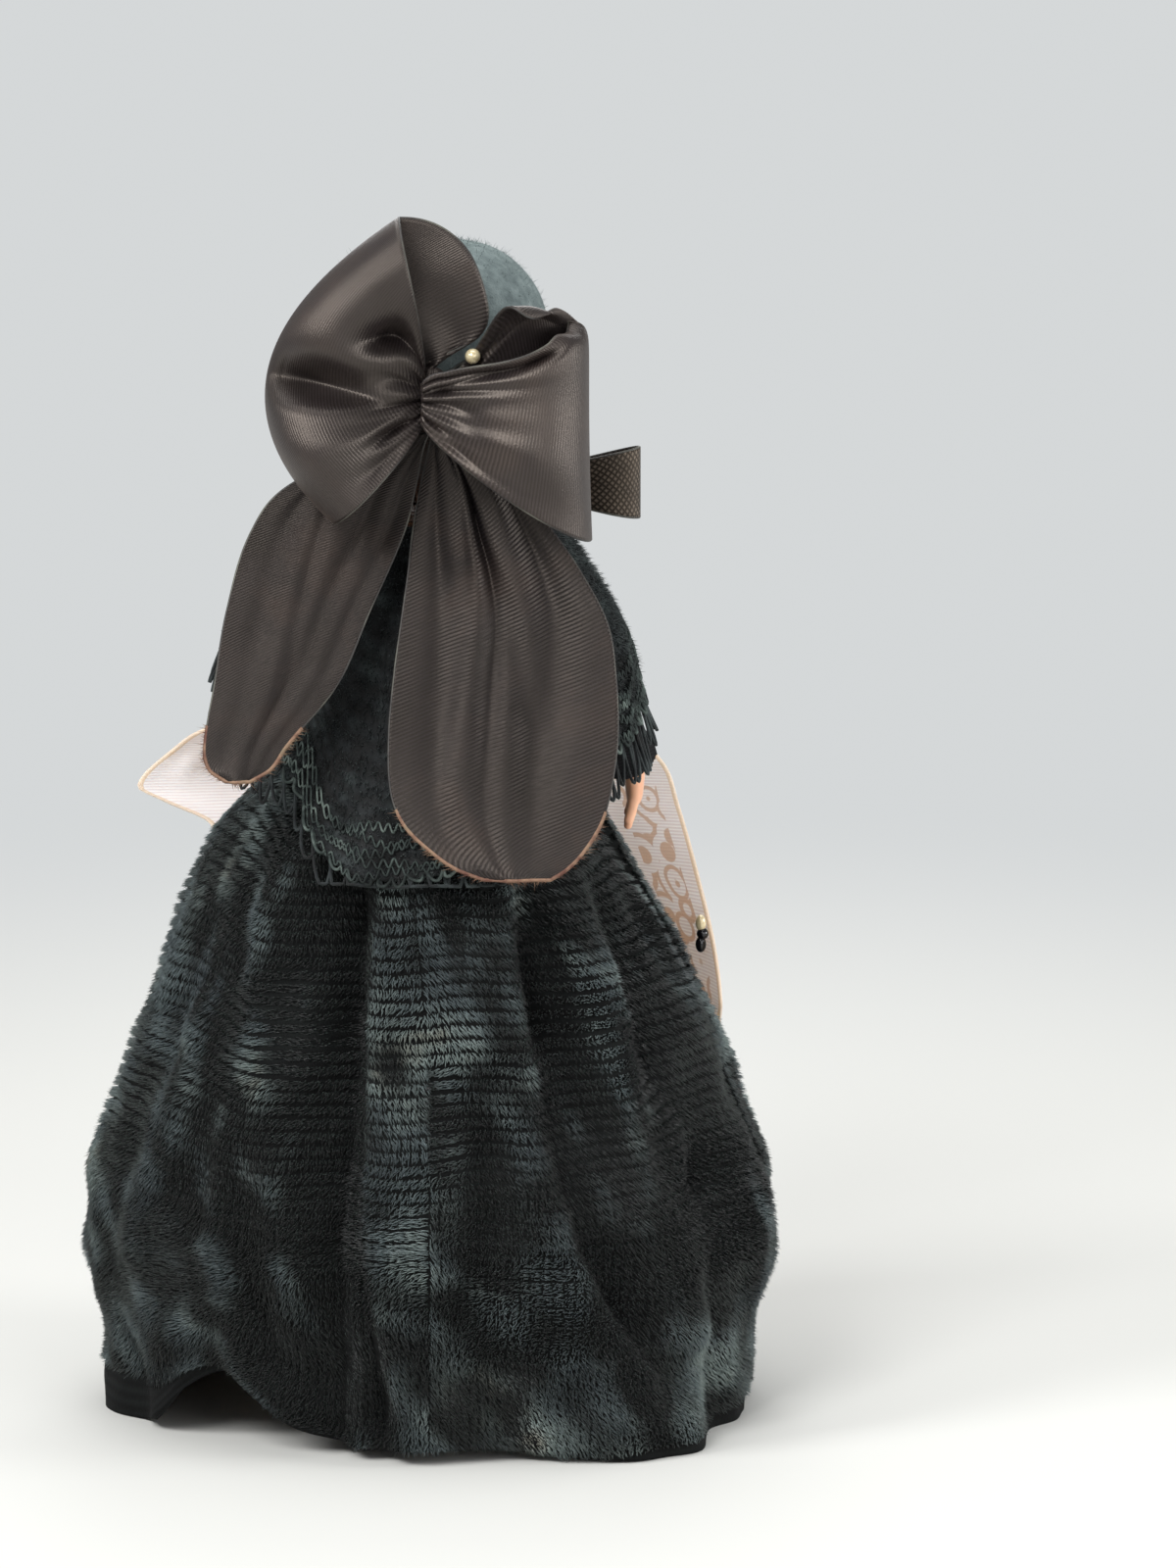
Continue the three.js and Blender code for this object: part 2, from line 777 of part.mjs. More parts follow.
// Hollows in a front layer: place across, place outwards, their widths, depth
const leftLoop = {
  side: -1,
  out: bowOut,
  rise: bowRise,
  drop: bowDrop,
  topShare: 0.2,
  bottomShare: 0.6,
  crossing: bowCrossing,
  sag: 0,
  backRise: 1.5,
  hollows: [[0.09, 0.75, 0.16, 0.3, 4]],
  bulge: 3,
};
const rightLoop = {
  side: 1,
  out: rightBowOut,
  rise: rightBowRise,
  drop: rightBowDrop,
  topShare: 0.93,
  bottomShare: 1.02,
  crossing: 0,
  sag: 6.5,
  backRise: 3,
  hollows: [[0.75, 0.8, 0.2, 0.25, 3]],
  bulge: 1.5,
};
place(head, "bow_left_loop", bowLoop(leftLoop), darkSatin);
place(head, "bow_right_loop", bowLoop(rightLoop), darkSatin);

function knotShape() {
  const [rows, sides] = [7, 12];
  const rings = range(rows + 1).map((i) => {
    const t = i / rows;
    const z = knotAt.z - knotHalfHeight * Math.cos(Math.PI * t);
    const swell = Math.sin(Math.PI * Math.min(Math.max(t, 0.08), 0.92)) ** 0.6;
    return range(sides).map((k) => {
      const turn = (2 * Math.PI * k) / sides;
      const pleat = 1 - 0.09 * (1 - Math.cos(6 * turn));
      return new THREE.Vector3(
        knotAt.x + knotHalfWidth * swell * pleat * Math.cos(turn),
        knotAt.y + knotHalfDepth * swell * pleat * Math.sin(turn),
        z,
      );
    });
  });
  return skinOver(rings);
}
place(head, "bow_knot", knotShape(), darkSatin);

// Each tail: rows of [height above the chin, left edge, right edge]; the fall gives its distance behind
const leftTailRows = [
  [-43.4, -34, -30],
  [-41.5, -36.8, -26.6],
  [-38, -37.6, -24],
  [-28, -36, -15.5],
  [-16, -34, -10],
  [-3, -29.9, -4.2],
  [5, -23, -2.2],
  [11, -5.5, -1],
  [14.1, -2.4, 0.1],
];
const rightTailRows = [
  [-59, 13, 17.5],
  [-57.2, 7.5, 21.5],
  [-54.7, 2.6, 25.2],
  [-50.5, -3.6, 28.6],
  [-45, -6.2, 30.6],
  [-36, -6.6, 31.8],
  [-26, -5.7, 31.4],
  [-18, -4.6, 30],
  [-9.5, -3.4, 25.4],
  [-4, -2.8, 21.5],
  [4, -1.4, 15.5],
  [8.5, -0.4, 10.5],
  [11.5, 0.2, 6.5],
  [14.1, 0.9, 3.4],
];
const tailFall = [
  [-59.5, 44],
  [-46, 38.5],
  [-34, 33],
  [-22, 28.5],
  [-8, 24],
  [0, 22.4],
  [8, 22.3],
  [11, 22.9],
  [14.1, 24.9],
];

function bowTail(rows, curl, downSteps) {
  const lefts = rows.map(([z, left]) => [z, left]);
  const rights = rows.map(([z, , right]) => [z, right]);
  const top = rows[rows.length - 1][0];
  const bottom = rows[0][0];
  const at = (u, v) => {
    const z = top + (bottom - top) * v;
    const left = along(lefts, z);
    const right = along(rights, z);
    const w = 2 * u - 1;
    return new THREE.Vector3(
      left + (right - left) * u,
      -along(tailFall, z) - curl * Math.cos(Math.PI * w) * (1 - 0.5 * v) + 0.6 * v,
      chinHeight + z,
    );
  };
  return sheetOver(at, 5, downSteps, ribbonThickness);
}
place(head, "bow_left_tail", bowTail(leftTailRows, 0.6, 10), darkSatin);
place(head, "bow_right_tail", bowTail(rightTailRows, 0.7, 12), darkSatin);

// Chin ribbon: from one side of the cap under the chin to the other, with a small bow at the jaw
const ribbonTop = chinHeight + 21;
const ribbonSide = headHalfWidth + wigOutside + seatGap + ribbonThickness / 2;
const ribbonBottom = chinHeight - 2.7;

function chinRibbon() {
  const at = (u, v) => {
    const turn = (v - 0.5) * Math.PI;
    const sine = Math.sin(turn);
    const cosine = Math.cos(turn);
    const x = ribbonSide * Math.sign(sine) * Math.abs(sine) ** 0.82;
    const z = ribbonTop + (ribbonBottom - ribbonTop) * cosine ** 0.72;
    const width = chinRibbonWidth * (1 - 0.38 * cosine ** 2);
    const middle = chinRibbonWidth * (0.2 + 0.83 * cosine ** 2);
    return new THREE.Vector3(x, middle + width * (u - 0.5), z);
  };
  return sheetOver(at, 2, 18, ribbonThickness);
}
place(head, "chin_ribbon", chinRibbon(), darkSatin);

const chinKnotAt = new THREE.Vector3(17.8, 7.2, chinHeight + 1.3);
const chinKnotRadius = 2.4;
const chinKnot = new THREE.SphereGeometry(chinKnotRadius, 8, 6);
chinKnot.scale(0.9, 1.1, 1.2).translate(chinKnotAt.x, chinKnotAt.y, chinKnotAt.z);
place(head, "chin_bow_knot", chinKnot, darkSatin);

function chinLoop(reachX, reachY, height, knotShare) {
  const length = Math.hypot(reachX, reachY);
  const alongLoop = new THREE.Vector3(reachX / length, reachY / length, 0);
  const sideways = new THREE.Vector3(-alongLoop.y, alongLoop.x, 0);
  const start = chinKnotRadius * knotShare + seatGap + ribbonThickness / 2;
  const at = (u, v) => {
    const swell = Math.sin(Math.PI * v);
    return chinKnotAt
      .clone()
      .addScaledVector(alongLoop, start + (length - start) * swell)
      .addScaledVector(sideways, 2.6 * Math.sin(2 * Math.PI * v) + 0.7 * Math.cos(Math.PI * v))
      .addScaledVector(up, (u - 0.5) * height * (0.45 + 0.55 * swell) + 0.5 * swell);
  };
  return sheetOver(at, 2, 12, ribbonThickness);
}
place(head, "chin_bow_back_loop", chinLoop(chinBowReach, -0.22 * chinBowReach, chinRibbonWidth, 0.9), darkSatin);
place(
  head,
  "chin_bow_front_loop",
  chinLoop(chinBowReach * 0.28, chinBowReach * 0.65, chinRibbonWidth * 0.8, 1.1),
  darkSatin,
);

// Arms: a disc against the torso, a bent arm and a hand with fingers
const limbSides = 10;

function tubeSkin(stations, count) {
  const path = new THREE.CatmullRomCurve3(stations.map(({ at }) => at));
  const rings = stations.map(({ at, wide, deep, turn = 0 }, i) => {
    const t = i / (stations.length - 1);
    const tangent = path.getTangent(t);
    const sideways = new THREE.Vector3(1, 0, 0)
      .applyAxisAngle(up, turn)
      .projectOnPlane(tangent)
      .normalize();
    const forward = tangent.clone().cross(sideways).normalize();
    return range(count).map((k) => {
      const angle = (2 * Math.PI * k) / count;
      return at
        .clone()
        .addScaledVector(sideways, wide * Math.cos(angle))
        .addScaledVector(forward, deep * Math.sin(angle));
    });
  });
  return skinOver(rings);
}

function armStations(side, extra) {
  const discX = torsoHalfWidth + runGap;
  const down = (share) => shoulderHeight - armDrop * share;
  const out = (share) => side * (discX + 3 + (handOut - discX - 3) * share);
  const stations = [
    [0, 0, 0.02, 4.4, 4.6],
    [0.16, 0.02, 0.16, armRadius, armRadius + 0.1],
    [0.36, 0.08, 0.36, armRadius - 0.2, armRadius - 0.1],
    [0.56, 0.16, 0.56, armRadius - 0.6, armRadius - 0.3],
    [0.8, 0.42, 0.72, 3.6, 3.8],
    [0.97, 0.74, 0.89, wristRadius, wristRadius + 0.2],
  ];
  return stations.map(([outShare, forwardShare, downShare, wide, deep]) => ({
    at: new THREE.Vector3(out(outShare), handForward * forwardShare, down(downShare)),
    wide: wide + extra,
    deep: deep + extra,
  }));
}

// A solid turned forward about the line through both shoulders
function turnedForward(solid, turn) {
  const shape = geometryOf(solid).translate(0, 0, -shoulderHeight);
  return shape.rotateX(turn).translate(0, 0, shoulderHeight);
}

function armShape(side) {
  const discX = torsoHalfWidth + runGap;
  const profile = [
    [0, 0],
    [armDiscRadius, 0],
    [armDiscRadius, 1.6],
    [armDiscRadius - 0.8, 3.6],
    [armDiscRadius - 2.6, 5.4],
    [0, 6.4],
  ].map(([radius, out]) => new THREE.Vector2(radius, out));
  const disc = new THREE.LatheGeometry(profile, 14);
  disc.applyMatrix4(toX);
  if (side < 0) disc.rotateZ(Math.PI);
  disc.translate(side * discX, 0, shoulderHeight);
  const stations = armStations(side, 0);
  const palmMiddle = new THREE.Vector3(side * handOut, handForward, shoulderHeight - armDrop);
  const palm = tubeSkin(
    [
      { at: palmMiddle.clone().add(new THREE.Vector3(0, -2.6, 5)), wide: 2.2, deep: 2.6 },
      { at: palmMiddle.clone().add(new THREE.Vector3(0, -1.4, 2.6)), wide: 1.9, deep: 3.5 },
      { at: palmMiddle.clone(), wide: 1.7, deep: 4 },
      { at: palmMiddle.clone().add(new THREE.Vector3(0, 0.8, -2.2)), wide: 1.5, deep: 3.9 },
    ],
    limbSides,
  );
  const beyond = [side * discX, side * 2 * handOut].sort((a, b) => a - b);
  const upperArm = solidOf(tubeSkin(stations, limbSides)).intersect(
    solidOf(box(...beyond, -armDrop, armDrop, 0, crownHeight)),
  );
  let arm = joined(disc, palm).add(upperArm);
  const knuckles = palmMiddle.clone().add(new THREE.Vector3(0, 0.6, -0.4));
  for (const finger of range(4)) {
    const spread = (finger - 1.5) * 1.85;
    const reach = fingerLength * [0.82, 1, 0.96, 0.78][finger];
    const root = knuckles.clone().add(new THREE.Vector3(0, spread, 0));
    const bend = [0.55, 1].map((share) =>
      root
        .clone()
        .add(new THREE.Vector3(-side * 1.3 * share ** 2, spread * 0.12 * share, -reach * share)),
    );
    const stick = tubeSkin(
      [root, ...bend].map((at, i) => ({ at, wide: 1.15 - 0.16 * i, deep: 1.05 - 0.16 * i })),
      6,
    );
    arm = arm.add(solidOf(stick));
  }
  const thumbRoot = palmMiddle.clone().add(new THREE.Vector3(0, 2.6, 2.4));
  const thumb = [
    [0, 0, 0],
    [-side * 0.6, 1.9, -1.3],
    [-side * 1.2, 2.8, -3.4],
  ].map(([x, y, z], i) => ({
    at: thumbRoot.clone().add(new THREE.Vector3(x, y, z)),
    wide: 1.25 - 0.15 * i,
    deep: 1.2 - 0.15 * i,
  }));
  arm = arm.add(solidOf(tubeSkin(thumb, 6)));
  const stemHole = rodX(
    wireRadius + seatGap,
    side * (discX - 1),
    side * (discX + 4.4),
    0,
    shoulderHeight,
    10,
  );
  return arm.subtract(solidOf(stemHole));
}

function armHook(side) {
  const ringX = torsoHalfWidth - torsoWall - 1.6 - hookRingRadius;
  const ring = new THREE.TorusGeometry(hookRingRadius, wireRadius, 5, 10);
  ring.translate(side * ringX, 0, shoulderHeight);
  const stemFrom = side * (ringX + hookRingRadius);
  const stem = rodX(
    wireRadius,
    stemFrom,
    side * (torsoHalfWidth + runGap + 4),
    0,
    shoulderHeight,
    8,
  );
  return joined(ring, stem);
}

const elasticBend = wireRadius + runGap + elasticRadius;
const armElasticEnd = torsoHalfWidth - torsoWall - 1.6 - 2 * hookRingRadius;
place(
  doll,
  "arm_elastic",
  elasticLoop(
    new THREE.Vector3(-armElasticEnd, 0, shoulderHeight),
    new THREE.Vector3(armElasticEnd, 0, shoulderHeight),
    elasticBend,
    up,
  ),
  whiteElastic,
);

function sleeveShape(side) {
  const inner = armStations(side, runGap);
  const outer = armStations(side, runGap + clothThickness);
  const cuffFlare = 0.5;
  inner[5].wide += cuffFlare;
  inner[5].deep += cuffFlare;
  outer[5].wide += cuffFlare + 0.5;
  outer[5].deep += cuffFlare + 0.5;
  const lowered = (stations) => {
    const [before, last] = stations.slice(-2);
    const end = last.at.clone().add(last.at.clone().sub(before.at).setLength(1.5));
    return [...stations.slice(0, -1), { ...last, at: end }];
  };
  const capRadius = armDiscRadius + runGap;
  const cap = (extra) => {
    const profile = [
      [0, 0],
      [capRadius + extra, 0],
      [capRadius + extra, 2],
      [capRadius - 0.8 + extra, 4.2],
      [capRadius - 2.6 + extra, 6.2 + extra],
      [0, 7 + extra],
    ].map(([radius, out]) => new THREE.Vector2(radius, out));
    const lathe = new THREE.LatheGeometry(profile, 14);
    lathe.applyMatrix4(toX);
    if (side < 0) lathe.rotateZ(Math.PI);
    return lathe.translate(side * (torsoHalfWidth + runGap), 0, shoulderHeight);
  };
  const outside = joined(cap(clothThickness), tubeSkin(outer, limbSides));
  const inside = joined(cap(0), tubeSkin(lowered(inner), limbSides));
  const mouth = solidOf(
    rodX(
      2 * capRadius,
      side * (torsoHalfWidth - 2),
      side * (torsoHalfWidth + seatGap + clothThickness + runGap),
      0,
      shoulderHeight,
    ),
  );
  return outside.subtract(inside).subtract(mouth);
}

for (const [side, name, turn] of [[1, "right", 0], [-1, "left", leftArmTurn]]) {
  const arm = new THREE.Group();
  doll.add(arm);
  place(arm, `${name}_arm`, turnedForward(armShape(side), turn), skinPlastic);
  place(arm, `${name}_arm_hook`, armHook(side), steel);
  place(arm, `${name}_sleeve`, turnedForward(sleeveShape(side), turn), blackCotton);
}

// Legs: a disc against the crotch, a straight leg and a foot in a slip-on shoe
const legX = crotchHalfWidth + runGap + thighRadius;
const soleThickness = 1;

function footSkin(side, extra) {
  const stations = [
    [-0.3, 0.55, 0.7],
    [-0.24, 0.82, 0.95],
    [-0.05, 0.9, 1.05],
    [0.2, 0.94, 0.95],
    [0.42, 1, 0.74],
    [0.6, 0.86, 0.56],
    [0.69, 0.5, 0.38],
  ];
  const floor = soleThickness + seatGap;
  const rings = stations.map(([share, wide, high], i) => {
    const push = i === 0 ? -extra : i === stations.length - 1 ? extra : 0;
    const y = footLength * share + push;
    const halfWidth = footHalfWidth * wide + extra;
    const top = floor + footHeight * high + extra;
    const bottom = floor - extra;
    return range(limbSides).map((k) => {
      const turn = (2 * Math.PI * k) / limbSides;
      const rise = Math.sin(turn);
      const z = rise > 0 ? bottom + (top - bottom) * (0.35 + 0.65 * rise) : bottom;
      const flat = rise > 0 ? Math.cos(turn) : Math.cos(turn) * 0.92;
      const level = rise > -0.1 && rise <= 0.1 ? bottom + (top - bottom) * 0.35 : z;
      return new THREE.Vector3(side * legX + halfWidth * flat, y, level);
    });
  });
  return skinOver(rings);
}

function legSkin(side, extra) {
  const stations = [
    [0.97, thighRadius, 7.4, 0],
    [0.86, thighRadius, 6.6, 0.2],
    [0.68, thighRadius - 0.6, 5.6, 0.4],
    [0.55, kneeRadius, 4.7, 0.5],
    [0.43, kneeRadius + 0.3, 5, -0.2],
    [0.28, 3.9, 4.2, -0.4],
    [0.15, ankleRadius, ankleRadius + 0.2, -0.2],
    [0.06, ankleRadius + 0.1, ankleRadius + 0.6, 0],
  ];
  const rings = stations.map(([share, wide, deep, forward]) =>
    ovalRing(
      legLength * share,
      wide + extra,
      deep + extra,
      deep + extra,
      limbSides,
      side * legX,
      forward,
    ),
  );
  return skinOver(rings);
}

function legShape(side) {
  const discX = crotchHalfWidth + runGap;
  const profile = [
    [0, 0],
    [legDiscRadius, 0],
    [legDiscRadius, 3],
    [legDiscRadius - 0.8, 6.6],
    [legDiscRadius - 2.6, 9.4],
    [0, 11.2],
  ].map(([radius, out]) => new THREE.Vector2(radius, out));
  const disc = new THREE.LatheGeometry(profile, 14);
  disc.applyMatrix4(toX);
  if (side < 0) disc.rotateZ(Math.PI);
  disc.translate(side * discX, 0, hipHeight);
  const stemHole = rodX(
    wireRadius + seatGap,
    side * (discX - 1),
    side * (discX + 5.4),
    0,
    hipHeight,
    10,
  );
  return joined(disc, legSkin(side, 0), footSkin(side, 0)).subtract(solidOf(stemHole));
}

function legHook(side) {
  const tip = side * 2.4;
  const points = [
    new THREE.Vector3(side * (crotchHalfWidth + runGap + 5), 0, hipHeight),
    new THREE.Vector3(side * crotchHalfWidth, 0, hipHeight),
    new THREE.Vector3(side * 3.6, 0, hipHeight),
    new THREE.Vector3(tip + side * 0.3, 0, hipHeight - 0.3),
    new THREE.Vector3(tip, 0, hipHeight - 1.4),
    new THREE.Vector3(tip, 0, hipHeight - 2.8),
  ];
  return wireAlong(points, wireRadius, 12);
}

function shoeShape(side) {
  const outside = solidOf(footSkin(side, seatGap + shoeWall));
  const inside = solidOf(footSkin(side, seatGap));
  const mouth = new THREE.CylinderGeometry(1, 1, 20, 18);
  mouth.applyMatrix4(toZ).scale(footHalfWidth - 0.1, 5, 1);
  mouth.translate(side * legX, 0.1, footHeight * 0.72 + 10);
  const aboveGround = box(-60, 60, -60, 60, 0, 60);
  return outside.subtract(inside).subtract(solidOf(mouth)).intersect(solidOf(aboveGround));
}

const legHookX = crotchHalfWidth - torsoWall - 1.7;
for (const [side, name] of [[1, "right"], [-1, "left"]]) {
  const leg = new THREE.Group();
  doll.add(leg);
  place(leg, `${name}_leg`, legShape(side), skinPlastic);
  place(leg, `${name}_leg_hook`, legHook(side), steel);
  place(leg, `${name}_shoe`, shoeShape(side), shoeVinyl);
  place(
    doll,
    `${name}_leg_elastic`,
    elasticLoop(
      new THREE.Vector3(
        side * legHookX,
        0,
        hipHeight - wireRadius - seatGap - elasticRadius + legLoopHalfWidth,
      ),
      new THREE.Vector3(
        side * 1,
        0,
        barHeight + wireRadius + seatGap + elasticRadius - legLoopHalfWidth,
      ),
      legLoopHalfWidth,
      new THREE.Vector3(0, 1, 0),
    ),
    whiteElastic,
  );
}

// Skirt: velvet gathered at the waist, with a deep back fold and a lifted hem at the back left
const skirtTop = waistHeight + 0.4;
const waistLayer = {
  garment: seatGap + clothThickness,
  petticoat: seatGap + clothThickness + seatGap + clothThickness,
};
const petticoatWaist = waistLayer.petticoat;
const skirtWaist = petticoatWaist + seatGap + waistGatherThickness;

function skirtWidths(topWidth) {
  return [
    [0, hemHalfWidth],
    [0.1 * skirtTop, 0.945 * skirtHalfWidth],
    [0.25 * skirtTop, skirtHalfWidth],
    [0.34 * skirtTop, 0.99 * skirtHalfWidth],
    [0.48 * skirtTop, 0.905 * skirtHalfWidth],
    [0.64 * skirtTop, 0.785 * skirtHalfWidth],
    [0.83 * skirtTop, 0.61 * skirtHalfWidth],
    [0.945 * skirtTop, 0.445 * skirtHalfWidth],
    [0.985 * skirtTop, 0.34 * skirtHalfWidth],
    [skirtTop, topWidth],
  ];
}
const depthShare = skirtHalfDepth / skirtHalfWidth;
const skirtSide = skirtWidths(waistHalfWidth + skirtWaist);
const skirtDepthStations = skirtSide.map(([z, width], i) => {
  if (i === 0) return [z, hemHalfDepth];
  if (i === skirtSide.length - 1) return [z, waistHalfDepth + skirtWaist];
  return [z, width * depthShare];
});
const sway = [
  [0, 0],
  [0.55 * skirtTop, 0],
  [0.83 * skirtTop, skirtSway],
  [0.93 * skirtTop, 0.7 * skirtSway],
  [0.975 * skirtTop, 0.1 * skirtSway],
  [skirtTop, 0],
];
// Folds: degrees round from the middle of the back towards the doll's right, widths to each side,
// depth, and how many degrees they spread towards the hem
const folds = [
  { angle: -18, left: 8.5, right: 4, depth: deepFold, fan: 0 },
  { angle: -46, left: 9, right: 6, depth: softFold * 1.15, fan: 8 },
  { angle: 10, left: 6, right: 6, depth: softFold * 0.8, fan: 6 },
  { angle: 34, left: 7, right: 6, depth: softFold * 1.15, fan: 14 },
  { angle: 58, left: 7, right: 7, depth: softFold, fan: 6 },
  { angle: -68, left: 7, right: 8, depth: softFold, fan: -4 },
  { angle: 88, left: 7, right: 7, depth: softFold * 0.5, fan: 4 },
  { angle: 118, left: 9, right: 9, depth: softFold, fan: 0 },
  { angle: 150, left: 8, right: 8, depth: softFold, fan: 0 },
  { angle: 180, left: 9, right: 9, depth: softFold, fan: 0 },
  { angle: -150, left: 8, right: 8, depth: softFold, fan: 0 },
  { angle: -116, left: 9, right: 9, depth: softFold, fan: 0 },
];
const foldFade = [
  [0, 1],
  [0.7 * skirtTop, 1],
  [0.9 * skirtTop, 0.55],
  [skirtTop, 0],
];

function aroundDifference(a, b) {
  return ((((a - b) % 360) + 540) % 360) - 180;
}

function foldDepth(degrees, z) {
  const total = folds.reduce((sum, { angle, left, right, depth, fan }) => {
    const away = aroundDifference(degrees, angle + fan * (0.4 - z / skirtTop));
    return sum + depth * bump(away, away < 0 ? left : right);
  }, 0);
  return total * along(foldFade, z);
}

function skirtPoint(degrees, z, inset) {
  const turn = THREE.MathUtils.degToRad(degrees);
  const lobe = hemLobe * bump(aroundDifference(degrees, 41), 15) * Math.max(0, 1 - z / 50);
  const inward = inset + foldDepth(degrees, z) - lobe;
  const lifts =
    hemLift * bump(aroundDifference(degrees, -41), 15) +
    hemMiddleLift * bump(aroundDifference(degrees, 2), 22);
  const fullness = Math.sin(turn) < 0 ? skirtLeftFullness : 1;
  return new THREE.Vector3(
    along(sway, z) + (along(skirtSide, z) * fullness - inward) * Math.sin(turn),
    -(along(skirtDepthStations, z) - inward) * Math.cos(turn),
    z + lifts * Math.max(0, 1 - z / 45),
  );
}

function skirtShape() {
  const count = 50;
  const ring = (share, inset) =>
    range(count).map((i) => skirtPoint((360 * i) / count, share * skirtTop, inset));
  const outerRows = [1, 0.985, 0.95, 0.89, 0.8, 0.68, 0.54, 0.4, 0.26, 0.12, 0];
  const innerRows = [0, 0.26, 0.54, 0.8, 0.93, 1];
  const insets = [
    [0, velvetThickness],
    [0.9, velvetThickness],
    [1, waistGatherThickness],
  ];
  return skinOver(
    [
      ...outerRows.map((share) => ring(share, 0)),
      ...innerRows.map((share) => ring(share, along(insets, share))),
    ],
    true,
  );
}
place(doll, "skirt", skirtShape(), blackVelvet);

function petticoatShape() {
  const top = skirtTop - 0.8;
  const count = 24;
  const widths = [
    [petticoatHem, petticoatHalfWidth],
    [0.3 * top, petticoatHalfWidth * 1.02],
    [0.5 * top, petticoatHalfWidth * 0.96],
    [0.7 * top, petticoatHalfWidth * 0.78],
    [0.85 * top, petticoatHalfWidth * 0.58],
    [0.94 * top, petticoatHalfWidth * 0.42],
    [top, waistHalfWidth + petticoatWaist],
  ];
  const depthGap = waistHalfWidth - waistHalfDepth;
  const ring = (share, inset) => {
    const z = petticoatHem + (top - petticoatHem) * share;
    const halfWidth = along(widths, z) - inset;
    const halfDepth = halfWidth - depthGap;
    const flute = (i) => 1 - (0.03 * (1 - share) * (1 + Math.cos(Math.PI * i))) / 2;
    return ovalRing(z, halfWidth, halfDepth, halfDepth, count, along(sway, z)).map((p, i) => {
      p.x *= flute(i);
      p.y *= flute(i);
      return p;
    });
  };
  const outerRows = [1, 0.95, 0.86, 0.7, 0.45, 0];
  const innerRows = [0, 0.45, 0.75, 0.92, 1];
  return skinOver(
    [
      ...outerRows.map((share) => ring(share, 0)),
      ...innerRows.map((share) => ring(share, clothThickness)),
    ],
    true,
  );
}
place(doll, "petticoat", petticoatShape(), whiteCotton);

// Apron waistband round the bodice, on the skirt's top edge
function waistband() {
  const count = 22;
  const inside = waistLayer.garment + seatGap;
  const bottom = skirtTop + seatGap;
  const ring = (z, extra) =>
    ovalRing(z, waistHalfWidth + extra, waistHalfDepth + extra, waistHalfDepth + extra, count);
  const outside = inside + satinThickness;
  return skinOver(
    [
      ring(bottom, outside),
      ring(bottom + bandHeight, outside + 0.3),
      ring(bottom + bandHeight, inside + 0.3),
      ring(bottom, inside),
    ],
    true,
  );
}
place(doll, "apron_waistband", waistband(), paleSatin);

// Apron: gathered under the band in front, its sides standing off the skirt
const apronTop = skirtTop + seatGap + bandHeight * 0.5;
const clearOfSkirt = sweepGap + satinThickness / 2;
const bandFront = waistHalfDepth + waistLayer.garment + seatGap + satinThickness;
const apronFronts = skirtDepthStations
  .slice(0, -1)
  .map(([z, depth]) => [z, depth + clearOfSkirt])
  .concat([[apronTop, bandFront + seatGap + satinThickness]]);
const apronRight = [
  [-apronLength, 0.8 * apronHalfWidth],
  [-apronLength + 8, 0.94 * apronHalfWidth],
  [-54, apronHalfWidth],
  [-42, 0.98 * apronHalfWidth],
  [-30, 0.92 * apronHalfWidth],
  [-20, apronFlare],
  [-12, 0.93 * apronFlare],
  [-5, 0.74 * apronFlare],
  [0, 14.5],
];
const apronLeft = [
  [-apronLength, 0.8 * apronHalfWidth],
  [-apronLength + 8, 0.92 * apronHalfWidth],
  [-54, 0.94 * apronHalfWidth],
  [-34, 0.84 * apronHalfWidth],
  [-23, 0.75 * apronCorner],
  [-19, 0.91 * apronCorner],
  [-16.5, apronCorner],
  [-10, 0.885 * apronCorner],
  [-4, 0.72 * apronCorner],
  [-1.5, 0.47 * apronCorner],
  [0, 14.5],
];
// How far forward the side edges stay
const apronEdge = [
  [-apronLength, 24],
  [-54, 9],
  [-42, 13],
  [-30, 24],
  [-17, 31],
  [-5, 25],
  [0, 4],
];

function apronPoint(u, v) {
  const w = 2 * u - 1;
  const fall = -apronLength * v ** 1.15;
  const z = apronTop + fall;
  const side = along(w > 0 ? apronRight : apronLeft, fall);
  const puff = apronPuff * bump(fall + 11, 8);
  const front = along(apronFronts, z) + puff + 0.6 * (1 + Math.cos(6 * Math.PI * w)) * (1 - v);
  const edge = Math.min(along(apronEdge, fall), front * 0.92);
  const flared = side / Math.sqrt(1 - (edge / front) ** 2);
  const fullness = w < 0 ? skirtLeftFullness : 1;
  const wide = Math.max(flared, along(skirtSide, z) * fullness + clearOfSkirt);
  const turn = Math.asin(Math.min(side / wide, 0.99)) * Math.abs(w);
  return new THREE.Vector3(
    Math.sign(w) * wide * Math.sin(turn),
    front * Math.cos(turn),
    z,
  );
}
const apronSteps = { across: 16, down: 10 };
place(
  doll,
  "apron",
  sheetOver(apronPoint, apronSteps.across, apronSteps.down, satinThickness),
  paleSatin,
);

// A small sewn-on bow at the apron's right edge
function apronOrnament() {
  const [u, v, step] = [0.985, 0.56, 1e-3];
  const across = apronPoint(u + step, v).sub(apronPoint(u - step, v));
  const down = apronPoint(u, v + step).sub(apronPoint(u, v - step));
  const outward = down.cross(across).normalize();
  const at = apronPoint(u, v).addScaledVector(outward, satinThickness / 2 + 1.1 + seatGap);
  const lobe = (side) =>
    new THREE.SphereGeometry(1.5, 6, 5).scale(0.7, 0.6, 1.2).translate(at.x, at.y, at.z + side * 1.9);
  const bead = new THREE.SphereGeometry(1.1, 6, 5).translate(at.x + 0.4, at.y, at.z);
  return joined(bead, lobe(1), lobe(-1));
}
place(doll, "apron_ornament", apronOrnament(), pearl);

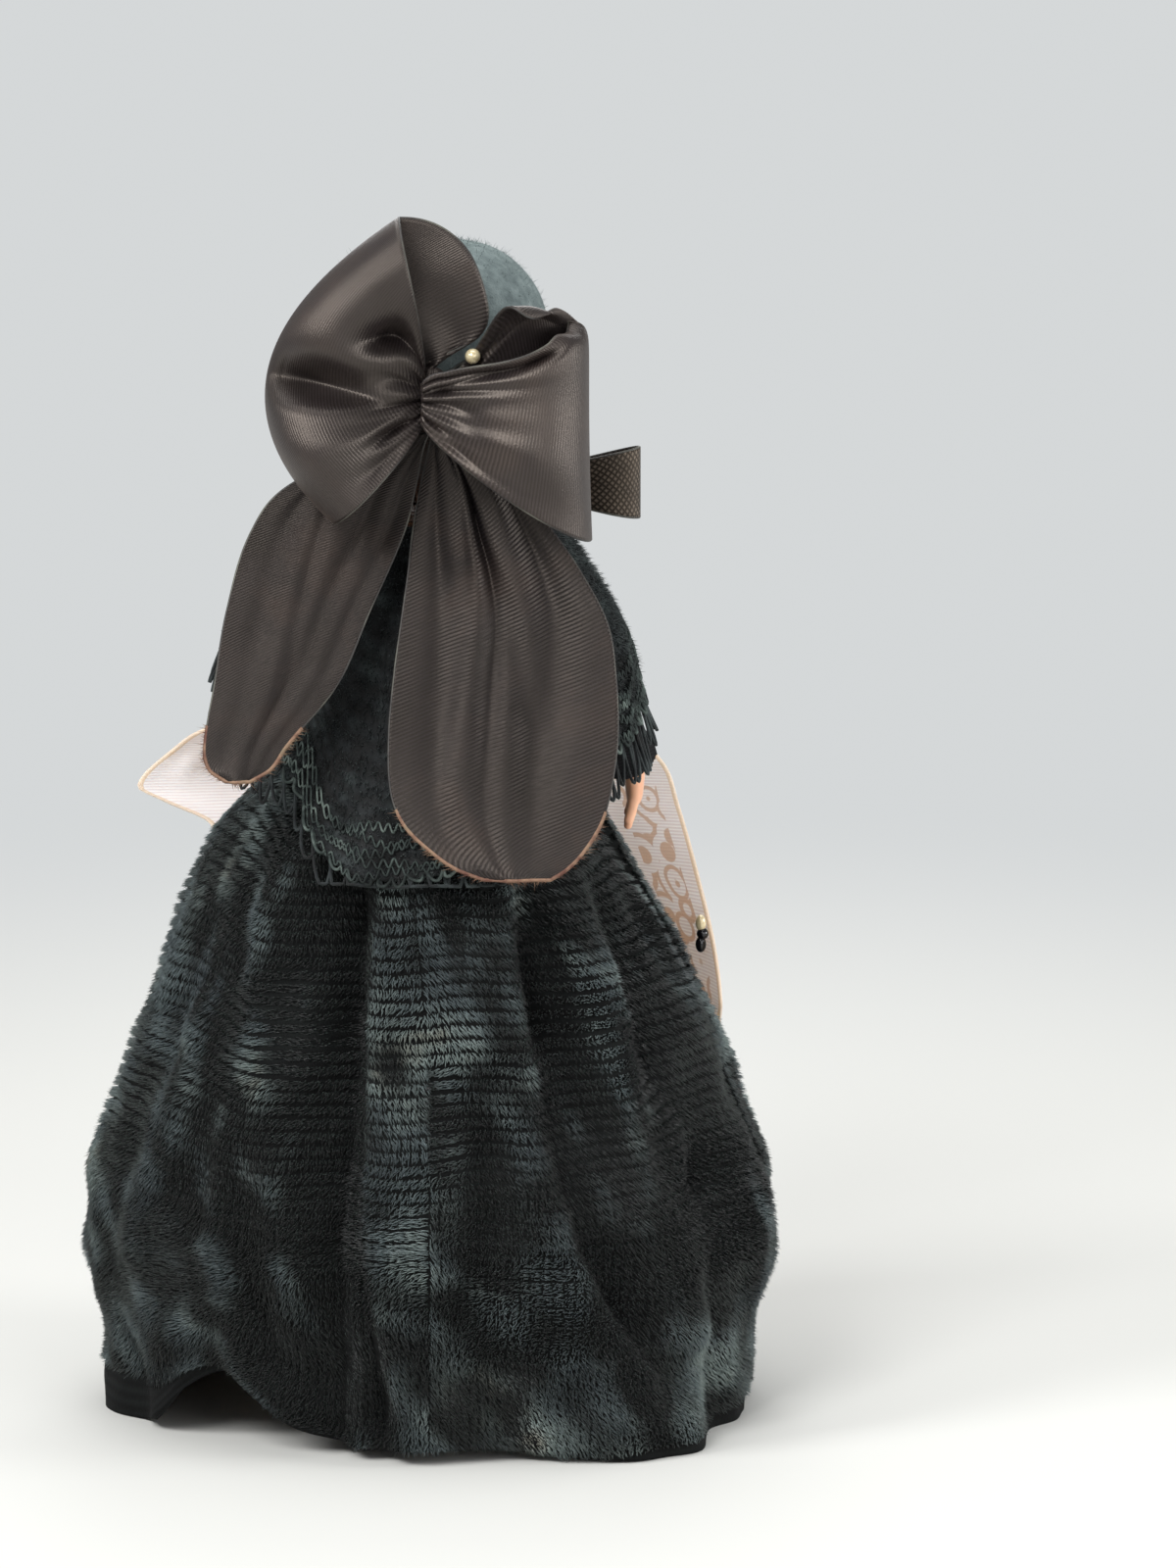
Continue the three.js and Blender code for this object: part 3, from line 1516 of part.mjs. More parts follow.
// Shawl: lace over the shoulders, pointed at the back, raised over the forearms in front
const shawlWidths = [
  [0, 10.4],
  [0.12, 15.5],
  [0.25, 21.4],
  [0.4, 0.66 * shawlHalfWidth],
  [0.6, 0.8 * shawlHalfWidth],
  [0.8, 0.91 * shawlHalfWidth],
  [1, shawlHalfWidth],
  [1.3, 1.05 * shawlHalfWidth],
];
const shawlBacks = [
  [0, 9.6],
  [0.25, 12.6],
  [0.4, 0.53 * shawlBackDepth],
  [0.6, 0.64 * shawlBackDepth],
  [0.8, 0.78 * shawlBackDepth],
  [1, 1.04 * shawlBackDepth],
  [1.3, 1.42 * shawlBackDepth],
];
const shawlFronts = [
  [0, 10.6],
  [0.12, 11.8],
  [0.25, 13],
  [0.4, 0.74 * shawlFrontDepth],
  [0.6, 0.88 * shawlFrontDepth],
  [0.8, shawlFrontDepth],
  [1, 1.05 * shawlFrontDepth],
  [1.3, 1.1 * shawlFrontDepth],
];
const shawlHeights = [
  [0, torsoTop - 0.4],
  [0.12, torsoTop - 0.7],
  [0.25, torsoTop - 1.8],
  [0.4, shoulderHeight + 1],
  [0.6, shoulderHeight - 9],
  [0.8, waistHeight + 6.5],
  [1, waistHeight - 6],
  [1.3, waistHeight - shawlPoint],
];
// How far down the shawl reaches, by degrees round from the middle of the back
const shawlReach = [
  [-172, 0.62],
  [-158, 0.6],
  [-142, 0.44],
  [-118, 0.39],
  [-100, 0.48],
  [-80, 0.66],
  [-58, 0.8],
  [-42, 0.9],
  [-31, 0.98],
  [-22, 1.2],
  [-12, 1.28],
  [14, 1.2],
  [40, 1.02],
  [68, 0.97],
  [86, 0.91],
  [100, 0.7],
  [118, 0.57],
  [142, 0.56],
  [158, 0.6],
  [172, 0.62],
];

function shawlPointAt(degrees, down) {
  const turn = THREE.MathUtils.degToRad(degrees);
  const squareness = Math.cos(turn) < 0 ? 0.84 : 0.96;
  const pinch = 1 - 0.32 * bump(Math.abs(degrees) - 180, 30) * Math.min(1, down / 0.8);
  const bulge = shawlArmBulge * bump(aroundDifference(degrees, -122), 36) * Math.min(1, down / 0.45);
  const depth =
    Math.cos(turn) < 0 ? along(shawlFronts, down) * pinch + bulge : along(shawlBacks, down);
  const sine = Math.sin(turn);
  const cosine = Math.cos(turn);
  const fullness = sine < 0 ? shawlLeftFullness : 1;
  return new THREE.Vector3(
    along(shawlWidths, down) * fullness * Math.sign(sine) * Math.abs(sine) ** squareness,
    -depth * Math.sign(cosine) * Math.abs(cosine) ** squareness,
    along(shawlHeights, down) - 3 * bump(Math.abs(degrees) - 180, 50) * (1 - down),
  );
}

function shawlDegrees(u) {
  return -172 + 344 * u;
}

function shawlShape() {
  const at = (u, v) => {
    const degrees = shawlDegrees(u);
    return shawlPointAt(degrees, along(shawlReach, degrees) * v);
  };
  return sheetOver(at, 32, 6, laceThickness);
}
place(doll, "shawl", shawlShape(), blackLace);

function fringeShape() {
  const reach = fringeLength / (shoulderHeight - waistHeight);
  const start = (1.4 * seatGap) / (shoulderHeight - waistHeight);
  const at = (u, v) => {
    const degrees = shawlDegrees(u);
    const step = Math.round(u * 2 * fringeLoops);
    const long = step % 2 === 0 ? 1 : 0.45;
    return shawlPointAt(degrees, along(shawlReach, degrees) + start + reach * long * v);
  };
  return sheetOver(at, 2 * fringeLoops, 1, laceThickness);
}
place(doll, "shawl_fringe", fringeShape(), blackLace);

// The ground point lies under the middle of the box
const reachBox = new THREE.Box3().setFromObject(doll);
const centre = reachBox.getCenter(new THREE.Vector3());
doll.position.set(-centre.x, -centre.y, -reachBox.min.z);

export default doll;
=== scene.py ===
import json
import math
import bpy
import numpy as np
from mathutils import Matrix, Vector


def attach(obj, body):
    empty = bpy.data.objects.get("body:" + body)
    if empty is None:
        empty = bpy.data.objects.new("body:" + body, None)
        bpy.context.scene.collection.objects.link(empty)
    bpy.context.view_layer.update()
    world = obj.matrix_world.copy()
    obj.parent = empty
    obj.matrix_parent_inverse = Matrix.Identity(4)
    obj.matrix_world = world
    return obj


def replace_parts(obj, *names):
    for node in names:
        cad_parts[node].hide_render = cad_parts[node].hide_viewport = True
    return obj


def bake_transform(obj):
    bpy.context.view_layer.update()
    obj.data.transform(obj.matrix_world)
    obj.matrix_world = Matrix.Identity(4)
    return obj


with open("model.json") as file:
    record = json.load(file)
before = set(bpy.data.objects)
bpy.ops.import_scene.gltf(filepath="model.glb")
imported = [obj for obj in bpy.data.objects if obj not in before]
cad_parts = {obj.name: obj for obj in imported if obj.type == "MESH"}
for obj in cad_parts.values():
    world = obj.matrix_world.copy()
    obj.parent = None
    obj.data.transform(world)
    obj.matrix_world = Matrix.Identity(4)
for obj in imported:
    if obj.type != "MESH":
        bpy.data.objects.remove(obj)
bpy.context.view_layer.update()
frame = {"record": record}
neck = frame["record"]["behaviour"]["joints"][0]["pos_m"]
dollMiddle = np.array([neck[0], neck[1], 0.0]) * 1000  # the doll's own axis, in mm
dice = np.random.default_rng(11)
print("frame loaded")

# Camera and light: the doll is seen from behind and a little from above. A lamp is a place and a size in mm
# and a power; the floor fades into the plain tone that the camera sees behind the doll
view = {"target": (26.84 + dollMiddle[0], 0, 108.7), "distance": 1500, "lift": 10, "lens": 199.8}
light = {
    "key": ((-260, -620, 620), 320, 4.2),
    "left": ((-620, -350, 560), 220, 3.9),
    "fill": ((330, -640, 280), 420, 1.5),
    "right": ((660, -120, 240), 240, 2.5),
    "top": ((0, 60, 800), 500, 2.6),
    "back": ((60, 640, 360), 420, 1.6),
    "world": 0.32, "floor": "cfcfcb", "floorSize": 6, "seen": "dfe2e3", "seenStrength": 0.9,
}


def linear(colour):
    channels = [int(colour[i : i + 2], 16) / 255 for i in (0, 2, 4)]
    return tuple(c / 12.92 if c <= 0.04045 else ((c + 0.055) / 1.055) ** 2.4 for c in channels) + (1.0,)


def addNode(tree, kind, settings=None, links=None):
    node = tree.nodes.new("ShaderNode" + kind)
    for name, value in (settings or {}).items():
        if name == "stops":  # a colour ramp's places and colours
            ramp = node.color_ramp
            ramp.elements[0].position, ramp.elements[1].position = value[0][0], value[-1][0]
            ramp.elements[0].color, ramp.elements[1].color = linear(value[0][1]), linear(value[-1][1])
            for place, colour in value[1:-1]:
                ramp.elements.new(place).color = linear(colour)
        elif isinstance(name, int) or name in node.inputs:
            node.inputs[name].default_value = value
        else:
            setattr(node, name, value)
    for name, source in (links or {}).items():
        tree.links.new(source, node.inputs[name])
    return node


def newFinish(name, settings):
    material = bpy.data.materials.new(name)
    material.use_nodes = True
    tree = material.node_tree
    tree.nodes.clear()
    shader = addNode(tree, "BsdfPrincipled", settings)
    addNode(tree, "OutputMaterial", links={"Surface": shader.outputs[0]})
    return material, tree, shader


def printOn(tree, cloth, colour, motif):
    # a border of rosettes inside the cloth's edges and a rim in another tone; cloth is mm across and down
    flat = addNode(tree, "SeparateXYZ", links={0: cloth})
    across, down = flat.outputs["X"], flat.outputs["Y"]
    wide, long = motif["size"]
    fromRight = addNode(tree, "Math", {"operation": "SUBTRACT", 0: wide}, {1: across})
    fromHem = addNode(tree, "Math", {"operation": "SUBTRACT", 0: long}, {1: down})
    nearSide = addNode(tree, "Math", {"operation": "MINIMUM"}, {0: across, 1: fromRight.outputs[0]})
    inwards = addNode(tree, "Math", {"operation": "MINIMUM"}, {0: nearSide.outputs[0], 1: fromHem.outputs[0]})
    # above its start the left border is moved far off the cloth
    aboveStart = addNode(tree, "Math", {"operation": "SUBTRACT", 0: motif["leftStart"], "use_clamp": True},
                         {1: down})
    leftSide = addNode(tree, "Math", {"operation": "MULTIPLY_ADD", 1: motif["farOff"]},
                       {0: aboveStart.outputs[0], 2: across})
    sides = addNode(tree, "Math", {"operation": "MINIMUM"}, {0: fromRight.outputs[0], 1: leftSide.outputs[0]})
    bordered = addNode(tree, "Math", {"operation": "MINIMUM"}, {0: sides.outputs[0], 1: fromHem.outputs[0]})
    middle, half = motif["border"]
    border = addNode(tree, "Math", {"operation": "COMPARE", 1: middle, 2: half}, {0: bordered.outputs[0]})
    rosette = addNode(tree, "TexVoronoi", {"Scale": 1 / motif["cell"]}, {"Vector": cloth})
    rings = addNode(tree, "Math", {"operation": "MULTIPLY", 1: motif["rings"]},
                    {0: rosette.outputs["Distance"]})
    petals = addNode(tree, "Math", {"operation": "SINE"}, {0: rings.outputs[0]})
    inked = addNode(tree, "MapRange", {"interpolation_type": "SMOOTHSTEP", "From Min": 0.1, "From Max": 0.6},
                    {"Value": petals.outputs[0]})
    printed = addNode(tree, "Math", {"operation": "MULTIPLY"}, {0: border.outputs[0], 1: inked.outputs[0]})
    colour = addNode(tree, "Mix", {"data_type": "RGBA", 7: linear(motif["ink"])},
                     {0: printed.outputs[0], 6: colour}).outputs[2]
    rim, tone = motif["trim"]
    edge = addNode(tree, "Math", {"operation": "LESS_THAN", 1: rim}, {0: inwards.outputs[0]})
    trimmed = addNode(tree, "Mix", {"data_type": "RGBA", 7: linear(tone)}, {0: edge.outputs[0], 6: colour})
    return trimmed.outputs[2]


waveSpacing = 0.314  # a wave texture's lines lie this far apart at scale 1


def finishFrom(name, spec):
    # colour from noise patches, with an optional woven or brushed line pattern on the cloth's own map
    material, tree, shader = newFinish(name, spec["shader"])
    place = addNode(tree, "TexCoord")
    patches = addNode(
        tree, "TexNoise",
        {"Scale": 1000 / spec["patch"], "Detail": spec.get("detail", 3.0), "Roughness": 0.6},
        {"Vector": place.outputs["Object"]},
    )
    tone = addNode(tree, "ValToRGB", {"stops": spec["tones"]}, {"Fac": patches.outputs["Fac"]})
    colour = tone.outputs["Color"]
    grain = addNode(
        tree, "TexNoise", {"Scale": 1000 / spec["grain"], "Detail": 2.0}, {"Vector": place.outputs["Object"]}
    )
    height = grain.outputs["Fac"]
    if "lines" in spec:
        turn = addNode(
            tree, "Mapping", {"Rotation": (0, 0, math.radians(spec.get("slant", 0)))},
            {"Vector": place.outputs["UV"]},
        )
        lines = addNode(
            tree, "TexWave",
            {"bands_direction": "Y", "Scale": waveSpacing / spec["lines"],
             "Distortion": spec.get("waver", 0.6), "Detail": 1.0, "Detail Scale": 0.2},
            {"Vector": turn.outputs["Vector"]},
        )
        pattern = lines.outputs["Fac"]
        if spec.get("crossed"):
            across = addNode(
                tree, "TexWave",
                {"bands_direction": "X", "Scale": waveSpacing / spec["lines"], "Distortion": 0.3},
                {"Vector": turn.outputs["Vector"]},
            )
            pattern = addNode(
                tree, "Math", {"operation": "MAXIMUM"}, {0: pattern, 1: across.outputs["Fac"]}
            ).outputs[0]
        height = addNode(
            tree, "Math", {"operation": "MULTIPLY_ADD", 1: spec.get("lineShare", 0.8)},
            {0: pattern, 2: grain.outputs["Fac"]},
        ).outputs[0]
        darker = addNode(
            tree, "Mix",
            {"data_type": "RGBA", "blend_type": "MULTIPLY", 7: linear(spec.get("lineTone", "8c8c8c"))},
            {0: pattern, 6: colour},
        )
        colour = darker.outputs[2]
    if "print" in spec:
        colour = printOn(tree, place.outputs["UV"], colour, spec["print"])
    if "paintedShade" in spec:
        # painted shade in the hollows and folds: the colour runs to a near-black tone where the piece's own 0
        # to 1 attribute is low, and keeps its painted sheen where it is high
        tone, low, high = spec["paintedShade"]
        lay = addNode(tree, "Attribute", {"attribute_name": "lay"})
        share = addNode(
            tree, "MapRange", {"interpolation_type": "SMOOTHSTEP", "From Min": low, "From Max": high},
            {"Value": lay.outputs["Fac"]},
        )
        colour = addNode(
            tree, "Mix", {"data_type": "RGBA", 6: linear(tone)}, {0: share.outputs[0], 7: colour}
        ).outputs[2]
    relief = addNode(
        tree, "Bump", {"Strength": spec.get("strength", 0.5), "Distance": spec["relief"] / 1000},
        {"Height": height},
    )
    tree.links.new(colour, shader.inputs["Base Color"])
    tree.links.new(relief.outputs["Normal"], shader.inputs["Normal"])
    return material


# Each finish is named for the real stuff, with patch, grain, relief and lines in mm. Its tones are places on
# the noise and their colours
finishes = {
    # knitted crushed velvet: rayon pile in courses 2.2 mm apart; its lighter grey-green tones are painted
    # sheen where it lies flat, and a near-black tone is laid in as painted shade in the hollows
    "crushedVelvetPile": {
        "shader": {"Roughness": 0.42, "Specular IOR Level": 0.5, "Sheen Weight": 0.3,
                   "Sheen Roughness": 0.35, "Sheen Tint": linear("8d9a94")},
        "patch": 17, "grain": 0.8, "relief": 0.2,
        "tones": [(0.34, "363e42"), (0.5, "576264"), (0.64, "7a8683"), (0.78, "7c796c")],
        "paintedShade": ("020304", 0.15, 0.95),
    },
    # the knitted ground between the courses, dull and almost black
    "velvetGround": {
        "shader": {"Roughness": 0.9, "Specular IOR Level": 0.2},
        "patch": 14, "grain": 0.5, "relief": 0.3, "lines": 2.2, "lineShare": 1.6,
        "tones": [(0.35, "050607"), (0.7, "101312")],
    },
    # polyester satin ribbon with a twill ground: lines 0.5 mm apart and a soft broad shine
    "twillSatinRibbon": {
        "shader": {"Roughness": 0.45, "Specular IOR Level": 0.8, "Specular Tint": linear("eedfd2"),
                   "Sheen Weight": 0.1, "Sheen Roughness": 0.35, "Sheen Tint": linear("a08a7c"),
                   "Anisotropic": 0.35},
        "patch": 22, "grain": 0.35, "relief": 0.07, "lines": 0.5, "slant": 8, "lineTone": "8f8885",
        "strength": 0.7, "waver": 1.2,
        "tones": [(0.32, "171314"), (0.52, "231e20"), (0.66, "322a28"), (0.8, "26252a")],
    },
    # the reverse of the same ribbon: the twill ground without the long satin floats, its tones darker than
    # the face's as painted shade on the hanging tails
    "twillReverseShaded": {
        "shader": {"Roughness": 0.46, "Specular IOR Level": 0.46, "Specular Tint": linear("eedfd2"),
                   "Anisotropic": 0.4},
        "patch": 15, "grain": 0.35, "relief": 0.1, "lines": 0.55, "slant": 20, "lineTone": "837c79",
        "strength": 0.8, "waver": 1.2, "detail": 4.0,
        "tones": [(0.32, "0d0b0d"), (0.52, "181518"), (0.66, "271f1e"), (0.8, "1d1d22")],
    },
    # the tight woven selvedge of the same ribbon, with lighter tones as a painted highlight where it catches
    # the light
    "wovenSelvedge": {
        "shader": {"Roughness": 0.5, "Specular IOR Level": 0.4},
        "patch": 9, "grain": 0.3, "relief": 0.08,
        "tones": [(0.3, "221e1e"), (0.5, "35322f"), (0.7, "57564d")],
    },
    # the melted and frayed end of the same ribbon
    "frayedSelvedge": {
        "shader": {"Roughness": 0.7, "Specular IOR Level": 0.3},
        "patch": 3, "grain": 0.3, "relief": 0.1,
        "tones": [(0.35, "5a3a30"), (0.55, "856a56"), (0.75, "6c6450")],
    },
    # brushed wool felt with loose fibre ends
    "brushedFelt": {
        "shader": {"Roughness": 0.95, "Specular IOR Level": 0.15, "Sheen Weight": 0.3,
                   "Sheen Roughness": 0.5, "Sheen Tint": linear("7f8f8b")},
        "patch": 2.6, "grain": 0.35, "relief": 0.25, "detail": 6.0,
        "tones": [(0.35, "50595a"), (0.55, "616b6b"), (0.75, "747e7e")],
    },
    # chenille lace: short pile on netted loops
    "chenilleLace": {
        "shader": {"Roughness": 0.75, "Specular IOR Level": 0.35, "Sheen Weight": 0.35,
                   "Sheen Roughness": 0.4, "Sheen Tint": linear("7f8b88")},
        "patch": 7, "grain": 0.5, "relief": 0.3, "lines": 2.6, "lineShare": 1.2,
        "tones": [(0.38, "060708"), (0.52, "15191b"), (0.66, "333a3a"), (0.78, "4a514f")],
    },
    # the worn, paler loops along the lace's edge
    "laceEdge": {
        "shader": {"Roughness": 0.8, "Specular IOR Level": 0.3},
        "patch": 5, "grain": 0.5, "relief": 0.2,
        "tones": [(0.35, "171c1b"), (0.52, "39423f"), (0.68, "66716b")],
    },
    # printed acetate satin, thin enough to show its print on the wrong side
    "printedSatin": {
        "shader": {"Roughness": 0.38, "Specular IOR Level": 0.5, "Sheen Weight": 0.2,
                   "Sheen Roughness": 0.4, "Subsurface Weight": 0.6,
                   "Subsurface Scale": 1.0, "Subsurface Radius": (0.003, 0.0024, 0.002)},
        "patch": 12, "grain": 0.4, "relief": 0.06, "lines": 0.6, "lineTone": "e9dfe0",
        "tones": [(0.35, "f2e8e5"), (0.52, "f5edea"), (0.7, "f2e8e6")],
        # a border of small rosettes and a beige overlocked edge: the cloth's width and length, the border's
        # distance from the edge and half width, its start at the left, mm to a rosette, its rings, the tones
        "print": {"size": (110, 84), "border": (9, 4.5), "leftStart": 44.0, "farOff": 200.0, "cell": 5.2,
                  "rings": 17.0, "ink": "c6a99b", "trim": (1.1, "d8bda8")},
    },
    # plain weave with a dull tooth
    "plainCotton": {
        "shader": {"Roughness": 0.9, "Specular IOR Level": 0.25},
        "patch": 10, "grain": 0.35, "relief": 0.1, "lines": 0.6, "lineTone": "e2e2e2",
        "tones": [(0.35, "e3dfd6"), (0.7, "f1eee7")],
    },
    # the same weave dyed black
    "blackCotton": {
        "shader": {"Roughness": 0.9, "Specular IOR Level": 0.25},
        "patch": 8, "grain": 0.35, "relief": 0.1, "lines": 0.6,
        "tones": [(0.35, "101013"), (0.7, "1d1c20")],
    },
    # moulded hard polystyrene, a satin skin with faint flow marks
    "mouldedSkinPlastic": {
        "shader": {"Roughness": 0.42, "Specular IOR Level": 0.5, "Subsurface Weight": 0.15,
                   "Subsurface Radius": (0.002, 0.001, 0.0006), "IOR": 1.59},
        "patch": 14, "grain": 1.2, "relief": 0.02,
        "tones": [(0.35, "e3a785"), (0.6, "ebb793"), (0.8, "efc3a2")],
    },
    # drawn steel wire, bare and slightly dull
    "drawnSteelWire": {
        "shader": {"Roughness": 0.34, "Metallic": 1.0},
        "patch": 2, "grain": 0.3, "relief": 0.02,
        "tones": [(0.35, "8b8a87"), (0.7, "a9a8a4")],
    },
    # cast lead, grey with a dull oxide skin
    "castLead": {
        "shader": {"Roughness": 0.6, "Metallic": 1.0},
        "patch": 2, "grain": 0.4, "relief": 0.05,
        "tones": [(0.35, "5f6164"), (0.7, "7b7d80")],
    },
    # rubber thread covered with undyed cotton
    "coveredElastic": {
        "shader": {"Roughness": 0.85, "Specular IOR Level": 0.2},
        "patch": 3, "grain": 0.4, "relief": 0.1,
        "tones": [(0.35, "d8d3c6"), (0.7, "efebe1")],
    },
    # combed nylon hair: fine strands with a soft long shine
    "combedHair": {
        "shader": {"Roughness": 0.45, "Specular IOR Level": 0.5, "Anisotropic": 0.5},
        "patch": 5, "grain": 0.3, "relief": 0.1, "lines": 0.5,
        "tones": [(0.35, "2b1a10"), (0.6, "4a2f1f"), (0.78, "654530")],
    },
    # moulded black vinyl, polished by the mould
    "mouldedVinyl": {
        "shader": {"Roughness": 0.3, "Specular IOR Level": 0.5},
        "patch": 9, "grain": 0.9, "relief": 0.03,
        "tones": [(0.35, "0f0f10"), (0.7, "1b1b1d")],
    },
    "narrowRibbon": {
        "shader": {"Roughness": 0.5, "Specular IOR Level": 0.45, "Specular Tint": linear("e8d8c4")},
        "patch": 8, "grain": 0.3, "relief": 0.12, "lines": 1.0, "slant": 38, "waver": 0.3,
        "lineTone": "4a4644", "crossed": True,
        "tones": [(0.35, "4c443e"), (0.6, "706459"), (0.75, "82766a")],
    },
    # pressed glass bead, black and glossy
    "jetBead": {
        "shader": {"Roughness": 0.12, "Specular IOR Level": 0.5, "IOR": 1.52},
        "patch": 2, "grain": 0.5, "relief": 0.01,
        "tones": [(0.35, "08080a"), (0.7, "141417")],
    },
    # lacquered glass pearl: cream body under a clear coat
    "pearlLacquer": {
        "shader": {"Roughness": 0.28, "Specular IOR Level": 0.6, "Coat Weight": 0.7, "Coat Roughness": 0.08,
                   "Metallic": 0.25},
        "patch": 1.2, "grain": 0.5, "relief": 0.01,
        "tones": [(0.35, "c9b488"), (0.6, "e8dab2"), (0.8, "f2ebd0")],
    },
}
finish = {name: finishFrom(name, spec) for name, spec in finishes.items()}


def spotMask(tree, middle, size, soft):
    # 1 inside an ellipsoid of the given half sizes in mm round a point of the doll, 0 outside
    place = addNode(tree, "TexCoord").outputs["Object"]
    at = (np.array(middle) + dollMiddle) / 1000
    moved = addNode(tree, "VectorMath", {"operation": "SUBTRACT", 1: tuple(at)}, {0: place})
    sized = addNode(tree, "VectorMath", {"operation": "DIVIDE", 1: tuple(np.array(size) / 1000)},
                    {0: moved.outputs[0]})
    away = addNode(tree, "VectorMath", {"operation": "LENGTH"}, {0: sized.outputs[0]})
    return addNode(
        tree, "MapRange",
        {"interpolation_type": "SMOOTHSTEP", "From Min": 1 + soft, "From Max": 1 - soft},
        {"Value": away.outputs["Value"]},
    ).outputs[0]


def painted(material, spots):
    # paint laid over a finish's colour
    tree = material.node_tree
    shader = next(node for node in tree.nodes if node.type == "BSDF_PRINCIPLED")
    colour = shader.inputs["Base Color"].links[0].from_socket
    for middle, size, soft, tone, strength in spots:
        mask = addNode(tree, "Math", {"operation": "MULTIPLY", 1: strength},
                       {0: spotMask(tree, middle, size, soft)})
        mixed = addNode(tree, "Mix", {"data_type": "RGBA", 7: linear(tone)}, {0: mask.outputs[0], 6: colour})
        colour = mixed.outputs[2]
    tree.links.new(colour, shader.inputs["Base Color"])


# face paint, all plain: two lips, then blush and brows at each side
faceSpots = [
    ((0, 18, 166.9), (2.3, 4, 0.75), 0.3, "b3453f", 0.85),
    ((0, 18, 166.0), (1.5, 4, 0.6), 0.3, "b3453f", 0.85),
]
brow = {"inner": 4, "step": 1.4, "height": 183.0, "arch": 0.5, "spots": 5}
for sign in (-1, 1):
    faceSpots.append(((sign * 9.2, 15, 169.5), (3.4, 6, 2.8), 0.6, "e58a76", 0.45))
    for step in range(brow["spots"]):
        rise = brow["arch"] * math.sin(math.pi * step / (brow["spots"] - 1))
        middle = (sign * (brow["inner"] + brow["step"] * step), 15, brow["height"] + rise)
        faceSpots.append((middle, (0.95, 6, 0.33), 0.4, "4a2f20", 0.8))
painted(finish["mouldedSkinPlastic"], faceSpots)
eyeGloss = {
    "shader": {"Roughness": 0.1, "Specular IOR Level": 0.5, "Coat Weight": 0.6},
    "patch": 3, "grain": 0.5, "relief": 0.005,
    "tones": [(0.35, "f2f0ec"), (0.7, "faf9f6")],
}
eyeAcross, eyeHeight = 6.6, 177.5
for side, sign in (("right", 1), ("left", -1)):
    # glazed acrylic eye: white with a blue iris, a black pupil, a skin-coloured lid above and its dark lashes
    name = f"{side}EyeEnamel"
    across = sign * eyeAcross
    finish[name] = finishFrom(name, eyeGloss)
    painted(finish[name], [
        ((across, 12.8, eyeHeight), (2.0, 3, 2.0), 0.06, "3d6b95", 1.0),
        ((across, 12.8, eyeHeight), (0.95, 3, 0.95), 0.08, "0a0a0c", 1.0),
        ((across, 6.5, eyeHeight + 4.8), (6, 7, 3.5), 0.03, "e3a98a", 1.0),
        ((across, 10, eyeHeight + 1.5), (4.5, 7, 0.4), 0.3, "2a1a12", 0.9),
    ])
print("finishes made:", len(finish))


def along(stations, at):
    # smooth value at a place between stations of (place, value), the places rising
    places, values = (np.array(column, float) for column in zip(*stations))
    last = len(places) - 1
    at = np.clip(np.asarray(at, float), places[0], places[last])
    k = np.clip(np.searchsorted(places, at, side="right") - 1, 0, last - 1)
    before, after = np.maximum(np.arange(last + 1) - 1, 0), np.minimum(np.arange(last + 1) + 1, last)
    slope = (values[after] - values[before]) / (places[after] - places[before])
    span = places[k + 1] - places[k]
    t = (at - places[k]) / span
    start = (2 * t**3 - 3 * t**2 + 1) * values[k] + (t**3 - 2 * t**2 + t) * span * slope[k]
    return start + (3 * t**2 - 2 * t**3) * values[k + 1] + (t**3 - t**2) * span * slope[k + 1]


def bump(distance, width):
    return np.exp(-((distance / width) ** 2))


def inFrame(points):
    return (np.asarray(points, float).reshape(-1, 3) + dollMiddle) / 1000


def newPiece(name, points, faces, look, body):
    mesh = bpy.data.meshes.new(name)
    mesh.from_pydata(inFrame(points).tolist(), [], faces)
    mesh.validate()
    piece = bpy.data.objects.new(name, mesh)
    bpy.context.scene.collection.objects.link(piece)
    mesh.polygons.foreach_set("use_smooth", [True] * len(mesh.polygons))
    mesh.materials.append(finish[look])
    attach(piece, body)
    return piece


def applyModifier(piece, kind, settings):
    bpy.ops.object.select_all(action="DESELECT")
    piece.select_set(True)
    bpy.context.view_layer.objects.active = piece
    modifier = piece.modifiers.new(kind.lower(), kind)
    for name, value in settings.items():
        setattr(modifier, name, value)
    bpy.ops.object.modifier_apply(modifier=modifier.name)


def clothPiece(name, points, size, thickness, look, body, closed=False, offset=0):
    # points are rows by columns; size is the cloth's width and length in mm, for its pattern
    rows, columns = points.shape[:2]
    spans = columns if closed else columns - 1
    row, column = np.meshgrid(np.arange(rows - 1), np.arange(spans), indexing="ij")
    row, column = row.ravel(), column.ravel()
    right = (column + 1) % columns
    corners = np.stack([row * columns + column, (row + 1) * columns + column,
                        (row + 1) * columns + right, row * columns + right], axis=1)
    piece = newPiece(name, points, corners.tolist(), look, body)
    across = np.stack([column, column, column + 1, column + 1], axis=1) * size[0] / spans
    down = np.stack([row, row + 1, row + 1, row], axis=1) * size[1] / (rows - 1)
    chart = piece.data.uv_layers.new(name="cloth")
    chart.data.foreach_set("uv", np.stack([across, down], axis=-1).astype(np.float32).ravel())
    if thickness:
        applyModifier(piece, "WELD", {"merge_threshold": 2e-6})  # a crown's last row becomes one point
        applyModifier(piece, "SOLIDIFY", {"thickness": thickness / 1000, "offset": offset})
    return piece


def gridOf(at, across, down, closed=False):
    u = np.linspace(0, 1, across + 1)[: across if closed else None]
    return at(*np.meshgrid(u, np.linspace(0, 1, down + 1)))


def surfaceArea(points, closed=False):
    if closed:
        points = np.concatenate([points, points[:, :1]], axis=1)
    a = points[1:, :-1] - points[:-1, :-1]
    b = points[:-1, 1:] - points[:-1, :-1]
    return float(np.linalg.norm(np.cross(a, b), axis=-1).sum())


def unit(vectors):
    return vectors / (np.linalg.norm(vectors, axis=1, keepdims=True) + 1e-9)


